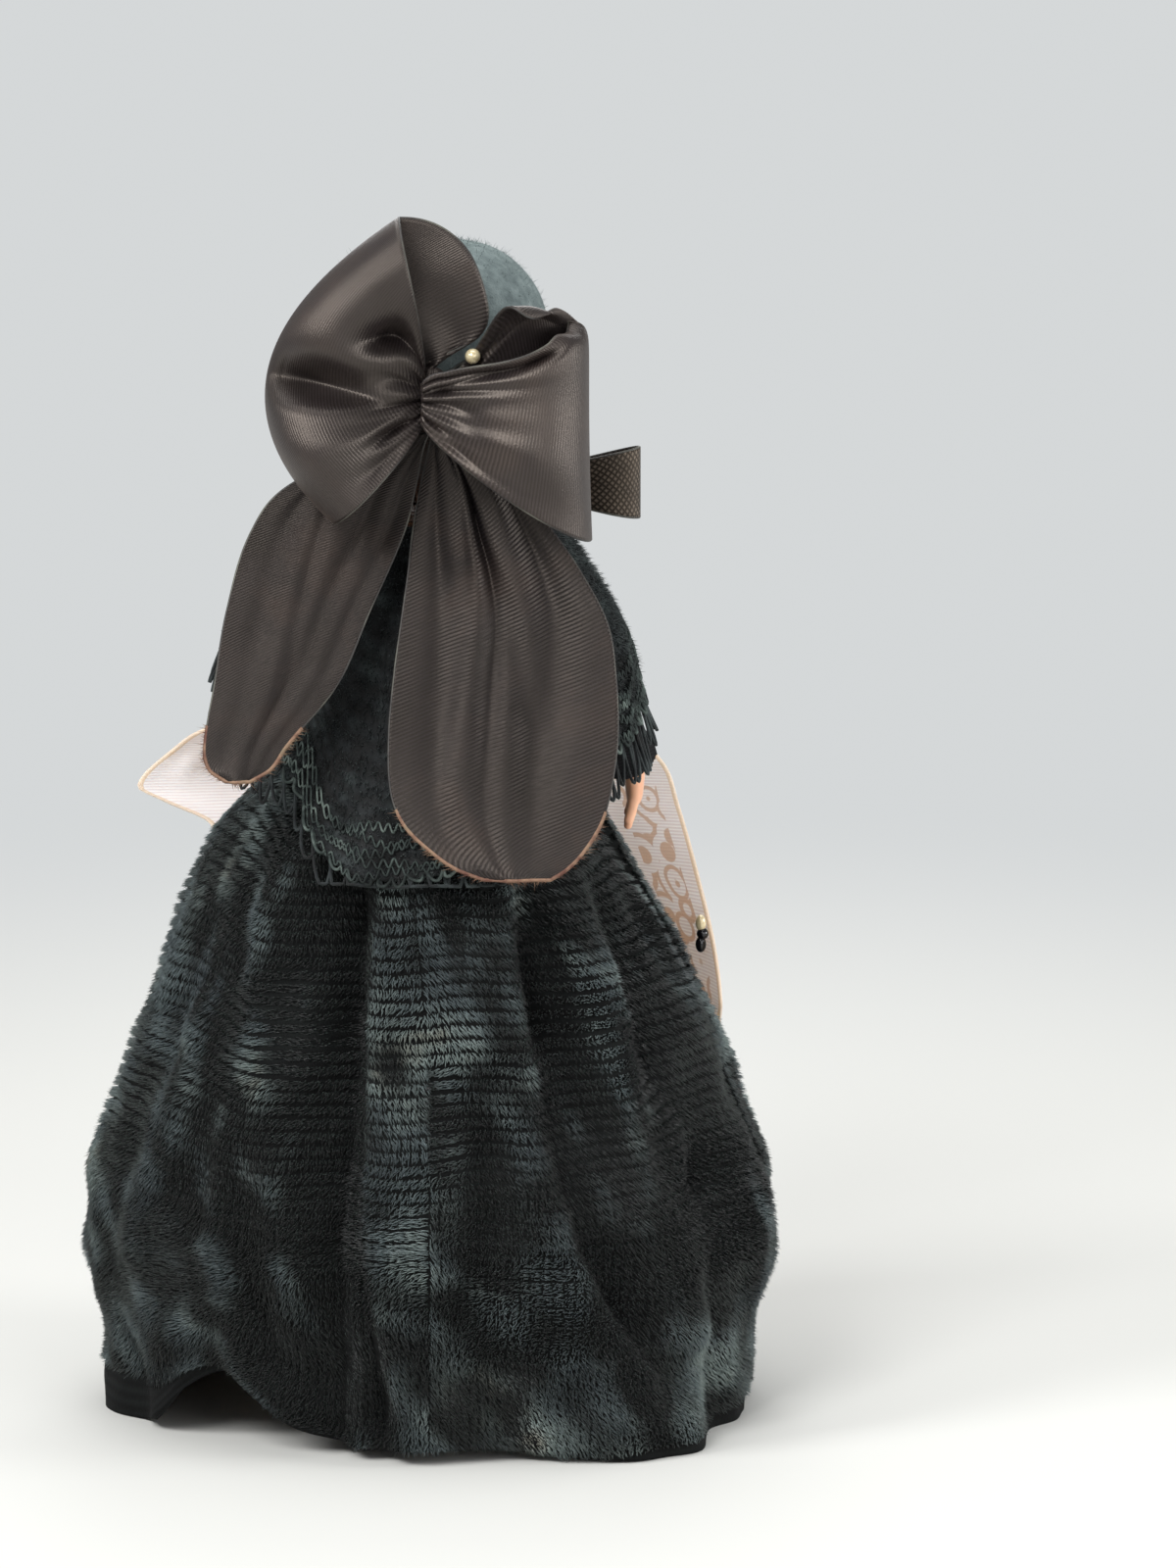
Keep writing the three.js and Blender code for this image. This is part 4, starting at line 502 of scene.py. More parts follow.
def tuftPiece(name, roots, tips, width, look, body):
    # pointed tufts of pile, each a thin three-sided spike
    lengthwise = unit(tips - roots)
    sideways = unit(np.cross(lengthwise, dice.normal(size=roots.shape)))
    flank = np.cross(lengthwise, sideways)
    turns = np.radians([0, 120, 240])
    ring = [roots + width * (math.cos(turn) * sideways + math.sin(turn) * flank) for turn in turns]
    points = np.stack([*ring, tips], axis=1).reshape(-1, 3)
    first = (np.arange(len(roots)) * 4)[:, None]
    spike = np.array([[0, 1, 3], [1, 2, 3], [2, 0, 3], [2, 1, 0]])
    return newPiece(name, points, (first[:, :, None] + spike[None]).reshape(-1, 3).tolist(), look, body)


def cordPiece(name, paths, radius, look, body, outward=None, sides=5):
    # round cords along the given paths; outward is the side that faces away from the doll
    points, faces, first = [], [], 0
    turns = np.arange(sides) * 2 * np.pi / sides
    for path in paths:
        tangent = unit(np.gradient(path, axis=0))
        facing = path * (1, 1, 0.02) if outward is None else np.broadcast_to(outward, path.shape)
        sideways = unit(np.cross(tangent, facing))
        flank = np.cross(sideways, tangent)
        ring = (path[:, None] + radius * (np.cos(turns)[None, :, None] * sideways[:, None]
                                          + np.sin(turns)[None, :, None] * flank[:, None]))
        points.append(ring.reshape(-1, 3))
        rows = len(path)
        for row in range(rows - 1):
            for k in range(sides):
                a, b = first + row * sides + k, first + row * sides + (k + 1) % sides
                faces.append((a, b, b + sides, a + sides))
        faces.append(tuple(first + k for k in reversed(range(sides))))
        faces.append(tuple(first + (rows - 1) * sides + k for k in range(sides)))
        first += rows * sides
    return newPiece(name, np.concatenate(points), faces, look, body)


# Skirt: velvet gathered at the waist, with a deep back fold and a lifted hem at the back left. Degrees run
# round from the middle of the back to the right as seen from behind
waist = 117
skirt = {
    "top": waist + 0.4, "halfWidth": 59.5, "halfDepth": 53.5, "hemWidth": 56, "hemDepth": 48.5,
    "waistWidth": 15.4, "waistDepth": 12.9, "leftFullness": 1.02, "ground": 1.3, "inset": 0.6, "seam": 17,
    # its outline seen from behind: shares of the height and of the half width
    "outline": [(0.1, 0.945), (0.25, 1), (0.34, 0.99), (0.48, 0.905), (0.64, 0.785), (0.83, 0.61),
                (0.945, 0.445), (0.985, 0.34)],
    # small crumples, each two crossed waves: mm deep, then turns round, up and start of either wave
    "ripples": [
        (0.8, (9, 0.11, 1.3), (-3, 0.21, 0)), (0.45, (23, -0.17, 0), (7, 0.34, 0.6)),
        (0.6, (7, 0.085, 0), (2, 0.05, 1)),
    ],
    # hollows pressed into the pile cloth: degrees, height, half width, half height, lean, depth
    "crumples": [
        (-33, 27, 5, 12, 1.5, 2.4), (-52, 46, 7, 14, -2, 1.8), (-24, 62, 4, 16, 1, 2.2),
        (23, 48, 4, 18, -2, 1.8), (31, 78, 5, 9, 3, 2.4), (49, 70, 4, 15, -3, 2.6), (44, 40, 6, 10, 4, 2.0),
        (66, 52, 5, 12, 3, 2.2), (-62, 78, 6, 10, 2, 0.6), (3, 33, 6, 8, 3, 1.4), (14, 66, 3, 12, 1, 1.4),
        (74, 84, 5, 12, 2, 2.0), (58, 22, 5, 9, -3, 1.8), (-76, 34, 6, 14, -2, 1.8), (-5, 14, 5, 7, 2, 1.5),
        (96, 60, 7, 16, 2, 1.6),
    ],
    # long valleys seen from behind: places (height, across) in mm, width to the left and right, depth
    "valleys": [
        ([(4, -8), (33, -12), (45, -12.8), (66, -12.8), (85, -12.2), (98, -10.8), (112, -8)], 8, 1.8, 5.5),
        ([(12, -29), (22, -31.7), (33, -34.5), (44, -34)], 3, 6, 4.5),
        ([(14, 39), (22, 35.3), (37, 28.5), (56, 22.8), (78, 19.3), (100, 17.2), (110, 15)], 2.2, 6.5, 4.6),
        ([(46, 52), (53, 49.4), (66, 42.6), (85, 35.4), (106, 28)], 2.4, 5, 3.6),
        ([(30, 44), (40, 46), (58, 40)], 4, 6, 2.6),
        ([(60, -27), (80, -24), (104, -17)], 5, 3, 2.6), ([(26, 6), (40, 10), (52, 9)], 4, 5, 1.8),
    ],
    # places where the pile was rubbed up or pressed flat, painted lighter as sheen or darker as shade:
    # height, across, tall, wide, strength
    "crushedSheenShade": [
        (14, 45, 8, 6, 0.7), (77, 33, 8, 5, 0.5), (78, -47, 10, 6, 0.5), (40, 49, 14, 7, -0.8),
        (75, 3, 14, 9, 0.35), (58, -3, 10, 7, 0.3), (48, 8, 6, 6, -0.35), (34, 8, 3, 22, 0.35),
        (88, -24, 12, 7, -0.3), (68, 12, 12, 4, -0.3), (14, -16, 9, 14, -0.2), (33, -24, 4, 8, 0.4),
    ],
    # hem lifts and the lobe at the back right: degrees, width, mm; then the heights at which they end
    "lifts": [(-41, 15, 13), (2, 22, 2.5)], "lobe": (41, 15, 9), "liftEnd": 45, "lobeEnd": 50,
    # length over which a valley fades out at either end
    "valleyEnd": 7,
    # folds from the waist to the hem: degrees, widths to each side, depth, fan towards the hem
    "folds": [
        (-18, 8.5, 3.6, 6.5, 0), (-46, 9, 6, 3.2, 8), (10, 6, 6, 2.2, 6), (34, 7, 6, 3.2, 14),
        (58, 7, 7, 2.8, 6), (-68, 7, 8, 2.8, -4), (88, 7, 7, 1.4, 4), (118, 9, 9, 2.8, 0),
        (150, 8, 8, 2.8, 0), (180, 9, 9, 2.8, 0), (-150, 8, 8, 2.8, 0), (-116, 9, 9, 2.8, 0),
    ],
}
top = skirt["top"]
skirtSide = [(0, skirt["hemWidth"])]
skirtSide += [(rise * top, wide * skirt["halfWidth"]) for rise, wide in skirt["outline"]]
skirtSide.append((top, skirt["waistWidth"]))
skirtDepth = [(z, w * skirt["halfDepth"] / skirt["halfWidth"]) for z, w in skirtSide]
skirtDepth[0], skirtDepth[-1] = (0, skirt["hemDepth"]), (top, skirt["waistDepth"])
sway = [(0, 0), (0.55 * top, 0), (0.83 * top, -2.4), (0.93 * top, -1.68), (0.975 * top, -0.24), (top, 0)]
foldFade = [(0, 1), (0.7 * top, 1), (0.9 * top, 0.55), (top, 0)]
# what the apron covers of the skirt: degrees, how far round to each side, down to what height, and over how
# many degrees and mm its pressure sets in
apronCover = {"middle": 180, "reach": 68, "hem": 38, "fade": (8, 6)}


def roundDifference(a, b):
    return (a - b + 540) % 360 - 180


def ripple(degrees, z):
    turn = np.radians(degrees)
    small = sum(deep * np.sin(a * turn + b * z + c) * np.sin(d * turn + e * z + f)
                for deep, (a, b, c), (d, e, f) in skirt["ripples"])
    crumple = 0
    for at, high, wide, tall, lean, deep in skirt["crumples"]:
        away = roundDifference(degrees, at + lean * (z - high) / 10)
        crumple = crumple + deep * bump(away, wide) * bump(z - high, tall)
    underApron = 1 - 0.75 * bump(roundDifference(degrees, apronCover["middle"]), apronCover["reach"])
    return small * underApron * along(foldFade, z) + crumple


def acrossBack(degrees, z):
    # mm to the right of the middle, as seen from behind; far away where the surface faces forward
    turn, farAway = np.radians(degrees), 500
    return np.where(np.cos(turn) > 0, along(sway, z) + along(skirtSide, z) * np.sin(turn), farAway)


def longValleys(degrees, z):
    across, end = acrossBack(degrees, z), skirt["valleyEnd"]
    deep = 0
    for path, left, right, depth in skirt["valleys"]:
        away = across - along(path, z)
        ends = bump(np.minimum(z - path[0][0], 0), end) * bump(np.maximum(z - path[-1][0], 0), end)
        deep = deep + depth * bump(away, np.where(away < 0, left, right)) * ends
    return deep * along(foldFade, z)


def foldsAt(degrees, z):
    deep = 0
    for angle, left, right, depth, fan in skirt["folds"]:
        away = roundDifference(degrees, angle + fan * (0.4 - z / top))
        deep = deep + depth * bump(away, np.where(away < 0, left, right))
    return deep


# patches of painted sheen on the crushed pile: number of crossing waves, shortest and longest, mm to a degree
# round the skirt
patches = {"waves": 26, "shortest": 7, "longest": 34, "perDegree": 0.9}
waveTurns = dice.uniform(0, 2 * np.pi, (2, patches["waves"]))
waveLengths = dice.uniform(patches["shortest"], patches["longest"], patches["waves"])


def mottle(degrees, z):
    # soft random patches over the cloth, about -1 to 1
    across = patches["perDegree"] * degrees
    total = 0
    for aim, start, length in zip(*waveTurns, waveLengths):
        total = total + np.sin(2 * np.pi * (across * np.cos(aim) + z * np.sin(aim)) / length + start)
    return total / math.sqrt(len(waveLengths))


# the pile's painted light, from 0 for painted shade to 1 for painted sheen: level, share of the sheen
# patches, and how each kind of hollow darkens it as painted shade
sheenShadeParts = {"level": 0.56, "patches": 0.31, "hollows": 1.25, "valleys": 0.11, "ripples": 0.1, "folds": 0.07}


def pileSheenShade(degrees, z):
    # painted light of the pile: 0 is painted shade where it stands in a hollow, 1 is painted sheen where it
    # was rubbed flat
    across = acrossBack(degrees, z)
    crushedLight = sum(strength * bump(z - high, tall) * bump(across - at, wide)
                 for high, at, tall, wide, strength in skirt["crushedSheenShade"])
    hollowShade = (sheenShadeParts["valleys"] * longValleys(degrees, z) + sheenShadeParts["ripples"] * ripple(degrees, z)
              + sheenShadeParts["folds"] * foldsAt(degrees, z))
    lay = sheenShadeParts["level"] + sheenShadeParts["patches"] * mottle(degrees, z) + crushedLight - sheenShadeParts["hollows"] * hollowShade
    return np.clip(lay, 0, 1)


def skirtInward(degrees, z):
    inward = ripple(degrees, z) + longValleys(degrees, z) + foldsAt(degrees, z) * along(foldFade, z)
    angle, width, out = skirt["lobe"]
    low = np.maximum(0, 1 - z / skirt["lobeEnd"])
    return inward - out * bump(roundDifference(degrees, angle), width) * low


def skirtSurface(degrees, z, inset):
    turn = np.radians(degrees)
    inward = inset + skirtInward(degrees, z)
    lift = sum(rise * bump(roundDifference(degrees, at), wide) for at, wide, rise in skirt["lifts"])
    lift = lift * np.maximum(0, 1 - z / skirt["liftEnd"])
    full = np.where(np.sin(turn) < 0, skirt["leftFullness"], 1)
    return np.stack([
        along(sway, z) + (along(skirtSide, z) * full - inward) * np.sin(turn),
        -(along(skirtDepth, z) - inward) * np.cos(turn),
        z + lift,
    ], axis=-1)


skirtPoints = gridOf(
    lambda u, v: skirtSurface(360 * u, top * (1 - v), skirt["inset"]), 240, 150, closed=True
)
skirtCloth = clothPiece("velvet_skirt", skirtPoints, (340, 124), skirt["ground"], "velvetGround", "torso",
                        closed=True, offset=-1)
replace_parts(skirtCloth, "skirt")
print("skirt", round(surfaceArea(skirtPoints, True)))


# pile, in mm: courses this far apart, each of some rows of tufts a spacing apart, leaning down the cloth
bodyPile = {"pitch": 2.2, "rows": 5, "spacing": 0.46, "length": 1.7, "width": 0.15, "lean": 0.55}
hemPile = {"pitch": 1.0, "rows": 3, "spacing": 0.46, "length": 1.5, "width": 0.16, "lean": 0.7}
courseFill = [(15, 0.95), (35, 0.85), (55, 0.64), (115, 0.6)]  # share of a course that holds pile, by height
courseRise = [(-78, 32, 8), (75, 36, 3)]  # the courses rise at the sides: degrees, width, mm
rootDepth, knots = 0.7, 210  # how deep the tufts are rooted, and the knots round the skirt that they lean to
girthShare = 5.6  # the skirt's girth over its half width, less than 2 pi because it is oval
# how a tuft stands: jitter of its place, how far it points out and how much that varies, share of the
# swirls in its aim outwards, downwards and sideways, scatter sideways and all round, lean to its knot,
# shortest length and how much that varies, and how much the apron flattens it
tuft = {"jitter": 0.8, "out": 0.75, "outVaries": 0.5, "swirl": (-0.12, 0.4, 0.55), "sideways": 0.22,
        "scatter": 0.14, "toKnot": 0.38, "shortest": 0.75, "varies": 0.45, "flattened": 0.5}


def pileRows(name, lowest, highest, pile):
    degrees, heights = [], []
    for course in np.arange(lowest, highest, pile["pitch"]):
        for row in range(pile["rows"]):
            z = course + pile["pitch"] * along(courseFill, course) * row / pile["rows"]
            count = int(girthShare * along(skirtSide, z) / pile["spacing"])
            around = (np.arange(count) + dice.random(count) * tuft["jitter"]) * 360 / count
            slope = sum(rise * bump(roundDifference(around, at), wide) for at, wide, rise in courseRise)
            degrees.append(around)
            heights.append(z + dice.normal(0, 0.1, count) + slope + 0.35 * np.sin(np.radians(around) * 11))
    degrees, heights = np.concatenate(degrees), np.concatenate(heights)
    inside = (heights > 0.3) & (heights < top - 0.3)
    degrees, heights = degrees[inside], heights[inside]
    roots = skirtSurface(degrees, heights, rootDepth)
    out = unit(skirtSurface(degrees, heights, 0) - roots)
    below = unit(skirtSurface(degrees, np.maximum(heights - 1, 0), rootDepth) - roots)
    beside = unit(skirtSurface(degrees + 0.5, heights, rootDepth) - roots)
    knot = 360 / knots
    toKnot = ((np.floor(degrees / knot) + 0.5) * knot - degrees) * np.pi / 180 * along(skirtSide, heights)
    share = dice.random(len(degrees))
    # the pile is brushed this way and that in swirls some centimetres wide
    swirl = (np.sin(degrees * 0.11 + heights * 0.09) + np.sin(degrees * 0.043 - heights * 0.16 + 2)
             + 0.9 * np.sin(degrees * 0.31 - heights * 0.23) * np.sin(degrees * 0.17 + heights * 0.29 + 1))
    swirlOut, swirlDown, swirlSide = tuft["swirl"]
    aim = out * (tuft["out"] + tuft["outVaries"] * share + swirlOut * swirl)[:, None]
    aim += below * (pile["lean"] + swirlDown * swirl)[:, None]
    sideways = swirlSide * swirl + dice.normal(0, tuft["sideways"], len(degrees))
    aim += np.cross(out, below) * sideways[:, None]
    aim += dice.normal(0, tuft["scatter"], aim.shape)
    # the apron presses the pile flat
    fadeRound, fadeDown = apronCover["fade"]
    covered = (apronCover["reach"] - np.abs(roundDifference(degrees, apronCover["middle"]))) / fadeRound
    underApron = np.clip(covered, 0, 1) * np.clip((heights - apronCover["hem"]) / fadeDown, 0, 1)
    long = pile["length"] * (tuft["shortest"] + tuft["varies"] * dice.random(len(degrees)))
    long *= 1 - tuft["flattened"] * underApron
    tips = roots + unit(aim) * long[:, None] + beside * (tuft["toKnot"] * toKnot)[:, None]
    tips[:, 2] = np.maximum(tips[:, 2], 0.05)
    piece = tuftPiece(name, roots, tips, pile["width"], "crushedVelvetPile", "torso")
    # painted sheen and shade of each tuft, from the pile's painted light with a little scatter
    lay = pileSheenShade(degrees, heights) * (0.8 + 0.25 * share) + dice.normal(0, 0.05, len(degrees))
    layer = piece.data.attributes.new("lay", "FLOAT", "POINT")
    layer.data.foreach_set("value", np.repeat(np.clip(lay, 0, 1), 4).astype(np.float32))
    return piece


bandEdges = [top - 1, 88, 62, 38, skirt["seam"]]
piles = [pileRows(f"velvet_pile_{band}", low, high, bodyPile)
         for band, (high, low) in enumerate(zip(bandEdges, bandEdges[1:]))]
piles.append(pileRows("velvet_pile_hem", 0.4, skirt["seam"], hemPile))
print("velvet pile", [len(piece.data.polygons) for piece in piles])

# Petticoat under it: its hem's height, the lift at the back left, flutes round it, room under the skirt
underskirt = {"hem": 6, "lift": (-41, 26, 12), "flutes": 14, "fluting": 0.02, "crumpling": 0.006, "ease": 0.4,
              "shallower": 2.5, "room": 3.2}
petticoatTop = top - 0.8
petticoatSide = [
    (underskirt["hem"], 43), (0.3 * petticoatTop, 43.9), (0.5 * petticoatTop, 41.3),
    (0.7 * petticoatTop, 33.5), (0.85 * petticoatTop, 24.9), (0.94 * petticoatTop, 18.1),
    (petticoatTop, 13.8),
]


def petticoatSurface(u, v):
    turn = 2 * np.pi * u
    at, spread, rise = underskirt["lift"]
    hem = underskirt["hem"] + rise * bump(roundDifference(360 * u, at), spread)
    z = petticoatTop + (hem - petticoatTop) * v
    flute = (1 - underskirt["fluting"] * v * (1 + np.cos(underskirt["flutes"] * turn))
             - underskirt["crumpling"] * v * np.sin(45 * turn))
    half = along(petticoatSide, z) - underskirt["ease"]
    pressed = skirtInward(360 * u, z) + underskirt["room"]  # the skirt's folds press it in
    wide = np.minimum(half * flute, along(skirtSide, z) - pressed)
    deep = np.minimum((half - underskirt["shallower"]) * flute, along(skirtDepth, z) - pressed)
    return np.stack([along(sway, z) + wide * np.sin(turn), -deep * np.cos(turn), z], axis=-1)


petticoatPoints = gridOf(petticoatSurface, 168, 60, closed=True)
petticoat = clothPiece("petticoat_cloth", petticoatPoints, (270, 112), 0.5, "plainCotton", "torso",
                       closed=True)
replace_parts(petticoat, "petticoat")
print("petticoat", round(surfaceArea(petticoatPoints, True)))

# Head bow of wide ribbon. A loop runs from the knot out in front and back to the knot behind
chin = 159
bow = {
    "knot": (0.8, -25.6, 179.5), "knotHalf": (2.6, 2.8, 4.8), "depth": 10.4, "backDepth": 1.35,
    "gathered": 0.16,
    # rise and drop are the heights over and under the knot. Sag, back rise and corner shape a loop's top
    # edge, lip its start and roll its fold. Crossing is how far the back layer's top edge runs over to the
    # other side. Each valley runs out from the gather: place across at the gather and at the fold, width
    # below and above, depth, where it is deepest on the way out, length
    "left": {
        "side": -1, "out": 28, "rise": 30, "drop": 21, "top": 0.2, "bottom": 0.6, "round": 2,
        "crossing": 14.5, "sag": [(0, 0), (1, 0)], "backRise": 1.5, "corner": 0, "bulge": 3.0,
        "start": (1.4, 3.2), "lip": -0.9, "roll": (0, 0),
        "valleys": [
            (0.02, 0.15, 0.1, 0.16, 8.8, 0.7, 0.3), (0.85, 0.3, 0.12, 0.13, 7.4, 0.3, 0.17),
            (-0.45, -0.75, 0.13, 0.1, 6.0, 0.18, 0.14), (0.3, 0.34, 0.07, 0.07, 1.7, 0.14, 0.12),
            (-0.12, -0.2, 0.06, 0.08, 1.5, 0.16, 0.16), (-0.8, -0.95, 0.12, 0.12, 1.6, 0.3, 0.25),
        ],
    },
    "right": {
        "side": 1, "out": 26, "rise": 16, "drop": 24, "top": 0.88, "bottom": 1.02, "round": 7,
        "crossing": 0, "sag": [(0, 0), (0.3, 2.4), (0.6, 4.5), (0.85, 4.8), (0.93, 3.0), (1, 1.4)],
        "backRise": 9.5, "corner": 3.2, "bulge": 1.5, "start": (-1.8, 3.2), "lip": 1.6, "roll": (5.2, 5.5),
        "valleys": [
            (0.25, 0.0, 0.16, 0.2, 4.2, 0.12, 0.07), (-0.1, -0.3, 0.1, 0.1, 1.6, 0.2, 0.12),
            (0.5, 0.8, 0.14, 0.2, 1.7, 0.42, 0.25), (-0.35, -0.6, 0.12, 0.16, 1.8, 0.2, 0.18),
            (-0.75, -0.9, 0.12, 0.1, 1.6, 0.16, 0.14), (0.3, 0.95, 0.1, 0.16, 2.4, 0.74, 0.12),
        ],
    },
}
knotX, knotY, knotZ = bow["knot"]


def bowLoop(loop):
    # u runs from the top edge to the lower one, v from the knot out to the fold and back behind
    def at(u, v):
        w = 1 - 2 * u
        swell = np.clip(np.sin(np.pi * v), 0, 1)  # 0 at the knot, 1 at the fold
        opened = bow["gathered"] + (1 - bow["gathered"]) * swell**0.75
        fold = 1 - np.where(w > 0, (1 - loop["top"]) * np.abs(w) ** loop["round"],
                            (1 - loop["bottom"]) * w**2)
        layer = np.sin(2 * np.pi * v)
        front, back = np.maximum(layer, 0), np.maximum(-layer, 0)
        outbound = v < 0.5
        upper, lower = np.maximum(w, 0), np.maximum(-w, 0)

        # reach from the knot, and the back layer's top edge, which runs over behind the knot and slows down
        # on the way; 1.23 makes up for what the slowing takes off
        start = np.where(outbound, *loop["start"])
        reach = start + (loop["out"] * fold - start) * swell
        behind = np.clip(2 * v - 1, 0, 1)
        over = loop["crossing"] * 1.23 * (1 - np.exp(-behind / 0.6)) * (1 - behind**20) * upper**1.2

        # gathers beside the knot and the valleys that run out from them
        crease = (0.5 * np.sin(13 * w + 3 * swell) + 0.35 * np.sin(23 * w - 2 * swell)) * (1 - swell) ** 2
        valley = 0
        for inner, outer, below, above, deep, middle, length in loop["valleys"]:
            away = w - inner - (outer - inner) * swell
            shape = bump(away, np.where(away < 0, below, above)) * bump(swell - middle, length)
            valley = valley + deep * shape

        # the edges: bulge of the lower half, sag of the top, curl of the back layer, roll at the fold
        bulge = loop["bulge"] * bump(w + 0.45, 0.35) * front
        sag = along(loop["sag"], swell) * np.clip(front / 0.3, 0, 1) * upper**2
        curl = loop["backRise"] * bump(swell - 0.52, 0.3) * back * upper
        lip = loop["lip"] * np.where(outbound, bump(swell, 0.13), 0)
        rolled = np.clip((w - 0.68) / 0.32, 0, 1) * bump(swell - 0.66, 0.27) * np.where(v > 0.5, 1, 0)
        rollBack, rollDown = loop["roll"]
        x = knotX + loop["side"] * reach + over
        y = (knotY - bow["depth"] * front + bow["backDepth"] * back - 1.6 * lower * swell - bulge
             + valley * np.clip(front / 0.75, 0, 1) - 0.9 * np.cos(np.pi * v) * (1 - swell) - crease
             - 2.6 * np.where(outbound, 1 - swell, 0) ** 3 - 0.8 * curl - lip - rollBack * rolled)
        z = (knotZ + np.where(w > 0, loop["rise"], loop["drop"]) * w * opened - sag + curl
             - rollDown * rolled**2 - loop["corner"] * bump(1 - swell, 0.07) * upper**4)
        return np.stack([x, y, z], axis=-1)
    return at


leftPoints = gridOf(bowLoop(bow["left"]), 120, 160)
rightPoints = gridOf(bowLoop(bow["right"]), 120, 160)
leftLoop = clothPiece("bow_left_loop_ribbon", leftPoints, (50, 62), 0.5, "twillSatinRibbon", "head")
rightLoop = clothPiece("bow_right_loop_ribbon", rightPoints, (40, 60), 0.5, "twillSatinRibbon", "head")
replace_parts(leftLoop, "bow_left_loop")
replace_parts(rightLoop, "bow_right_loop")
print("bow loops", round(surfaceArea(leftPoints)), round(surfaceArea(rightPoints)))
selvedge = 0.26  # half thickness of a woven selvedge
loopEdges = cordPiece("bow_loop_selvedges", [points[:, edge] for points in (leftPoints, rightPoints)
                                             for edge in (0, -1)],
                      selvedge, "wovenSelvedge", "head", outward=(0.1, -1, 0.2))


def knotSurface(u, v):
    turn = 2 * np.pi * u
    swell = np.sin(np.pi * np.clip(v, 0.04, 0.96)) ** 0.6
    pleat = 1 - 0.09 * (1 - np.cos(6 * turn)) - 0.05 * (1 - np.cos(14 * turn + 3 * v))
    wide, deep, tall = bow["knotHalf"]
    return np.stack([knotX + wide * swell * pleat * np.cos(turn), knotY + deep * swell * pleat * np.sin(turn),
                     knotZ + tall * np.cos(np.pi * v)], axis=-1)


knot = clothPiece("bow_knot_ribbon", gridOf(knotSurface, 72, 40, closed=True), (24, 16), 0,
                  "twillSatinRibbon", "head", closed=True)
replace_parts(knot, "bow_knot")

# Tails: an edge point is the height over the chin and the left and right edge there; fall is how far behind
# the doll's middle the ribbon hangs, by height over the chin; past the cut share both edges are frayed, and
# the end has a rim of the hem's half thickness, a number of threads and the length of the longest
tails = {
    "left": {"edges": [
        (-43.4, -34, -30), (-41.5, -36.8, -26.6), (-38, -37.6, -24), (-28, -36, -15.5), (-16, -34, -10),
        (-3, -29.9, -4.2), (5, -23, -2.2), (11, -7, -1), (14.1, -2.4, 0.1)], "curl": 0.6,
        # creases: place across, spread towards the end, width, depth
        "creases": [(0.35, 0.3, 0.16, 1.1), (-0.5, -0.2, 0.2, 0.8), (0.0, -0.5, 0.12, 0.7),
                    (0.75, 0.2, 0.12, 0.6)]},
    "right": {"edges": [
        (-59, 9.5, 20.5), (-57.4, 5, 23.2), (-54.7, 0.8, 26), (-50.5, -3.8, 28.8), (-45, -6.2, 30.6),
        (-36, -6.6, 31.8), (-26, -5.7, 31.4), (-18, -4.6, 30), (-9.5, -3.4, 25.4), (-4, -2.8, 21.5),
        (4, -1.4, 15.5), (8.5, -0.4, 10.5), (11.5, 0.2, 6.5), (14.1, 0.9, 3.4)], "curl": 0.7,
        "creases": [(-0.1, 0.15, 0.09, 1.6), (0.45, 0.5, 0.2, 1.9), (-0.6, -0.2, 0.15, 1.2),
                    (0.1, -0.6, 0.12, 0.8), (-0.3, 0.5, 0.1, -0.8)]},
    "fall": [(-59.5, 44), (-46, 38.5), (-34, 33), (-22, 28.5), (-8, 24), (0, 22.4), (8, 22.3), (11, 22.9),
             (14.1, 24.9)],
    "cut": 0.85, "hem": 0.34, "threads": 620, "thread": 1.5,
}


def tailSurface(tail):
    lefts = [(z, left) for z, left, right in tail["edges"]]
    rights = [(z, right) for z, left, right in tail["edges"]]
    highest, lowest = tail["edges"][-1][0], tail["edges"][0][0]

    def at(u, v):
        z = highest + (lowest - highest) * v
        left, right = along(lefts, z), along(rights, z)
        w = 2 * u - 1
        y = -along(tails["fall"], z) - tail["curl"] * np.cos(np.pi * w) * (1 - 0.5 * v) + 0.6 * v
        for place, spread, width, deep in tail["creases"]:
            crease = bump(w - place - spread * (0.5 - v), width * (0.6 + 0.8 * v))
            y = y + deep * crease * np.sin(np.pi * v) ** 0.5
        gathers = 0.5 * np.sin(6 * w + 2) * bump(v, 0.16)
        y = y + gathers + 0.35 * np.sin(3.1 * w + 9 * v) * np.sin(11 * v + 2 * w)
        return np.stack([left + (right - left) * u, y, chin + z], axis=-1)
    return at


def cutOutline(points, share, column):
    # down one edge, along the end and up the other; column 0 is the rim, a higher one the cloth inside it
    first = int(share * (len(points) - 1))
    step = 8  # the end's own points are taken further apart than the edges'
    end = points[-1 if column == 0 else -4, step:-step:step]
    return np.concatenate([points[first:, column], end, points[:first:-1, -1 - column]])


def frayedEnd(name, rim, inside, count, longest):
    # broken threads along a cut end
    run = np.concatenate([[0], np.cumsum(np.linalg.norm(np.diff(rim, axis=0), axis=1))])
    place = np.interp(dice.random(count) * run[-1], run, np.arange(len(rim)))
    whole = np.minimum(place.astype(int), len(rim) - 2)
    share = (place - whole)[:, None]
    roots = rim[whole] * (1 - share) + rim[whole + 1] * share
    outward = unit(rim[whole] - inside[whole])
    tips = roots + (outward + dice.normal(0, 0.4, roots.shape)) * longest * dice.random((count, 1)) ** 2
    return tuftPiece(name, roots - 0.3 * outward, tips, 0.08, "frayedSelvedge", "head")


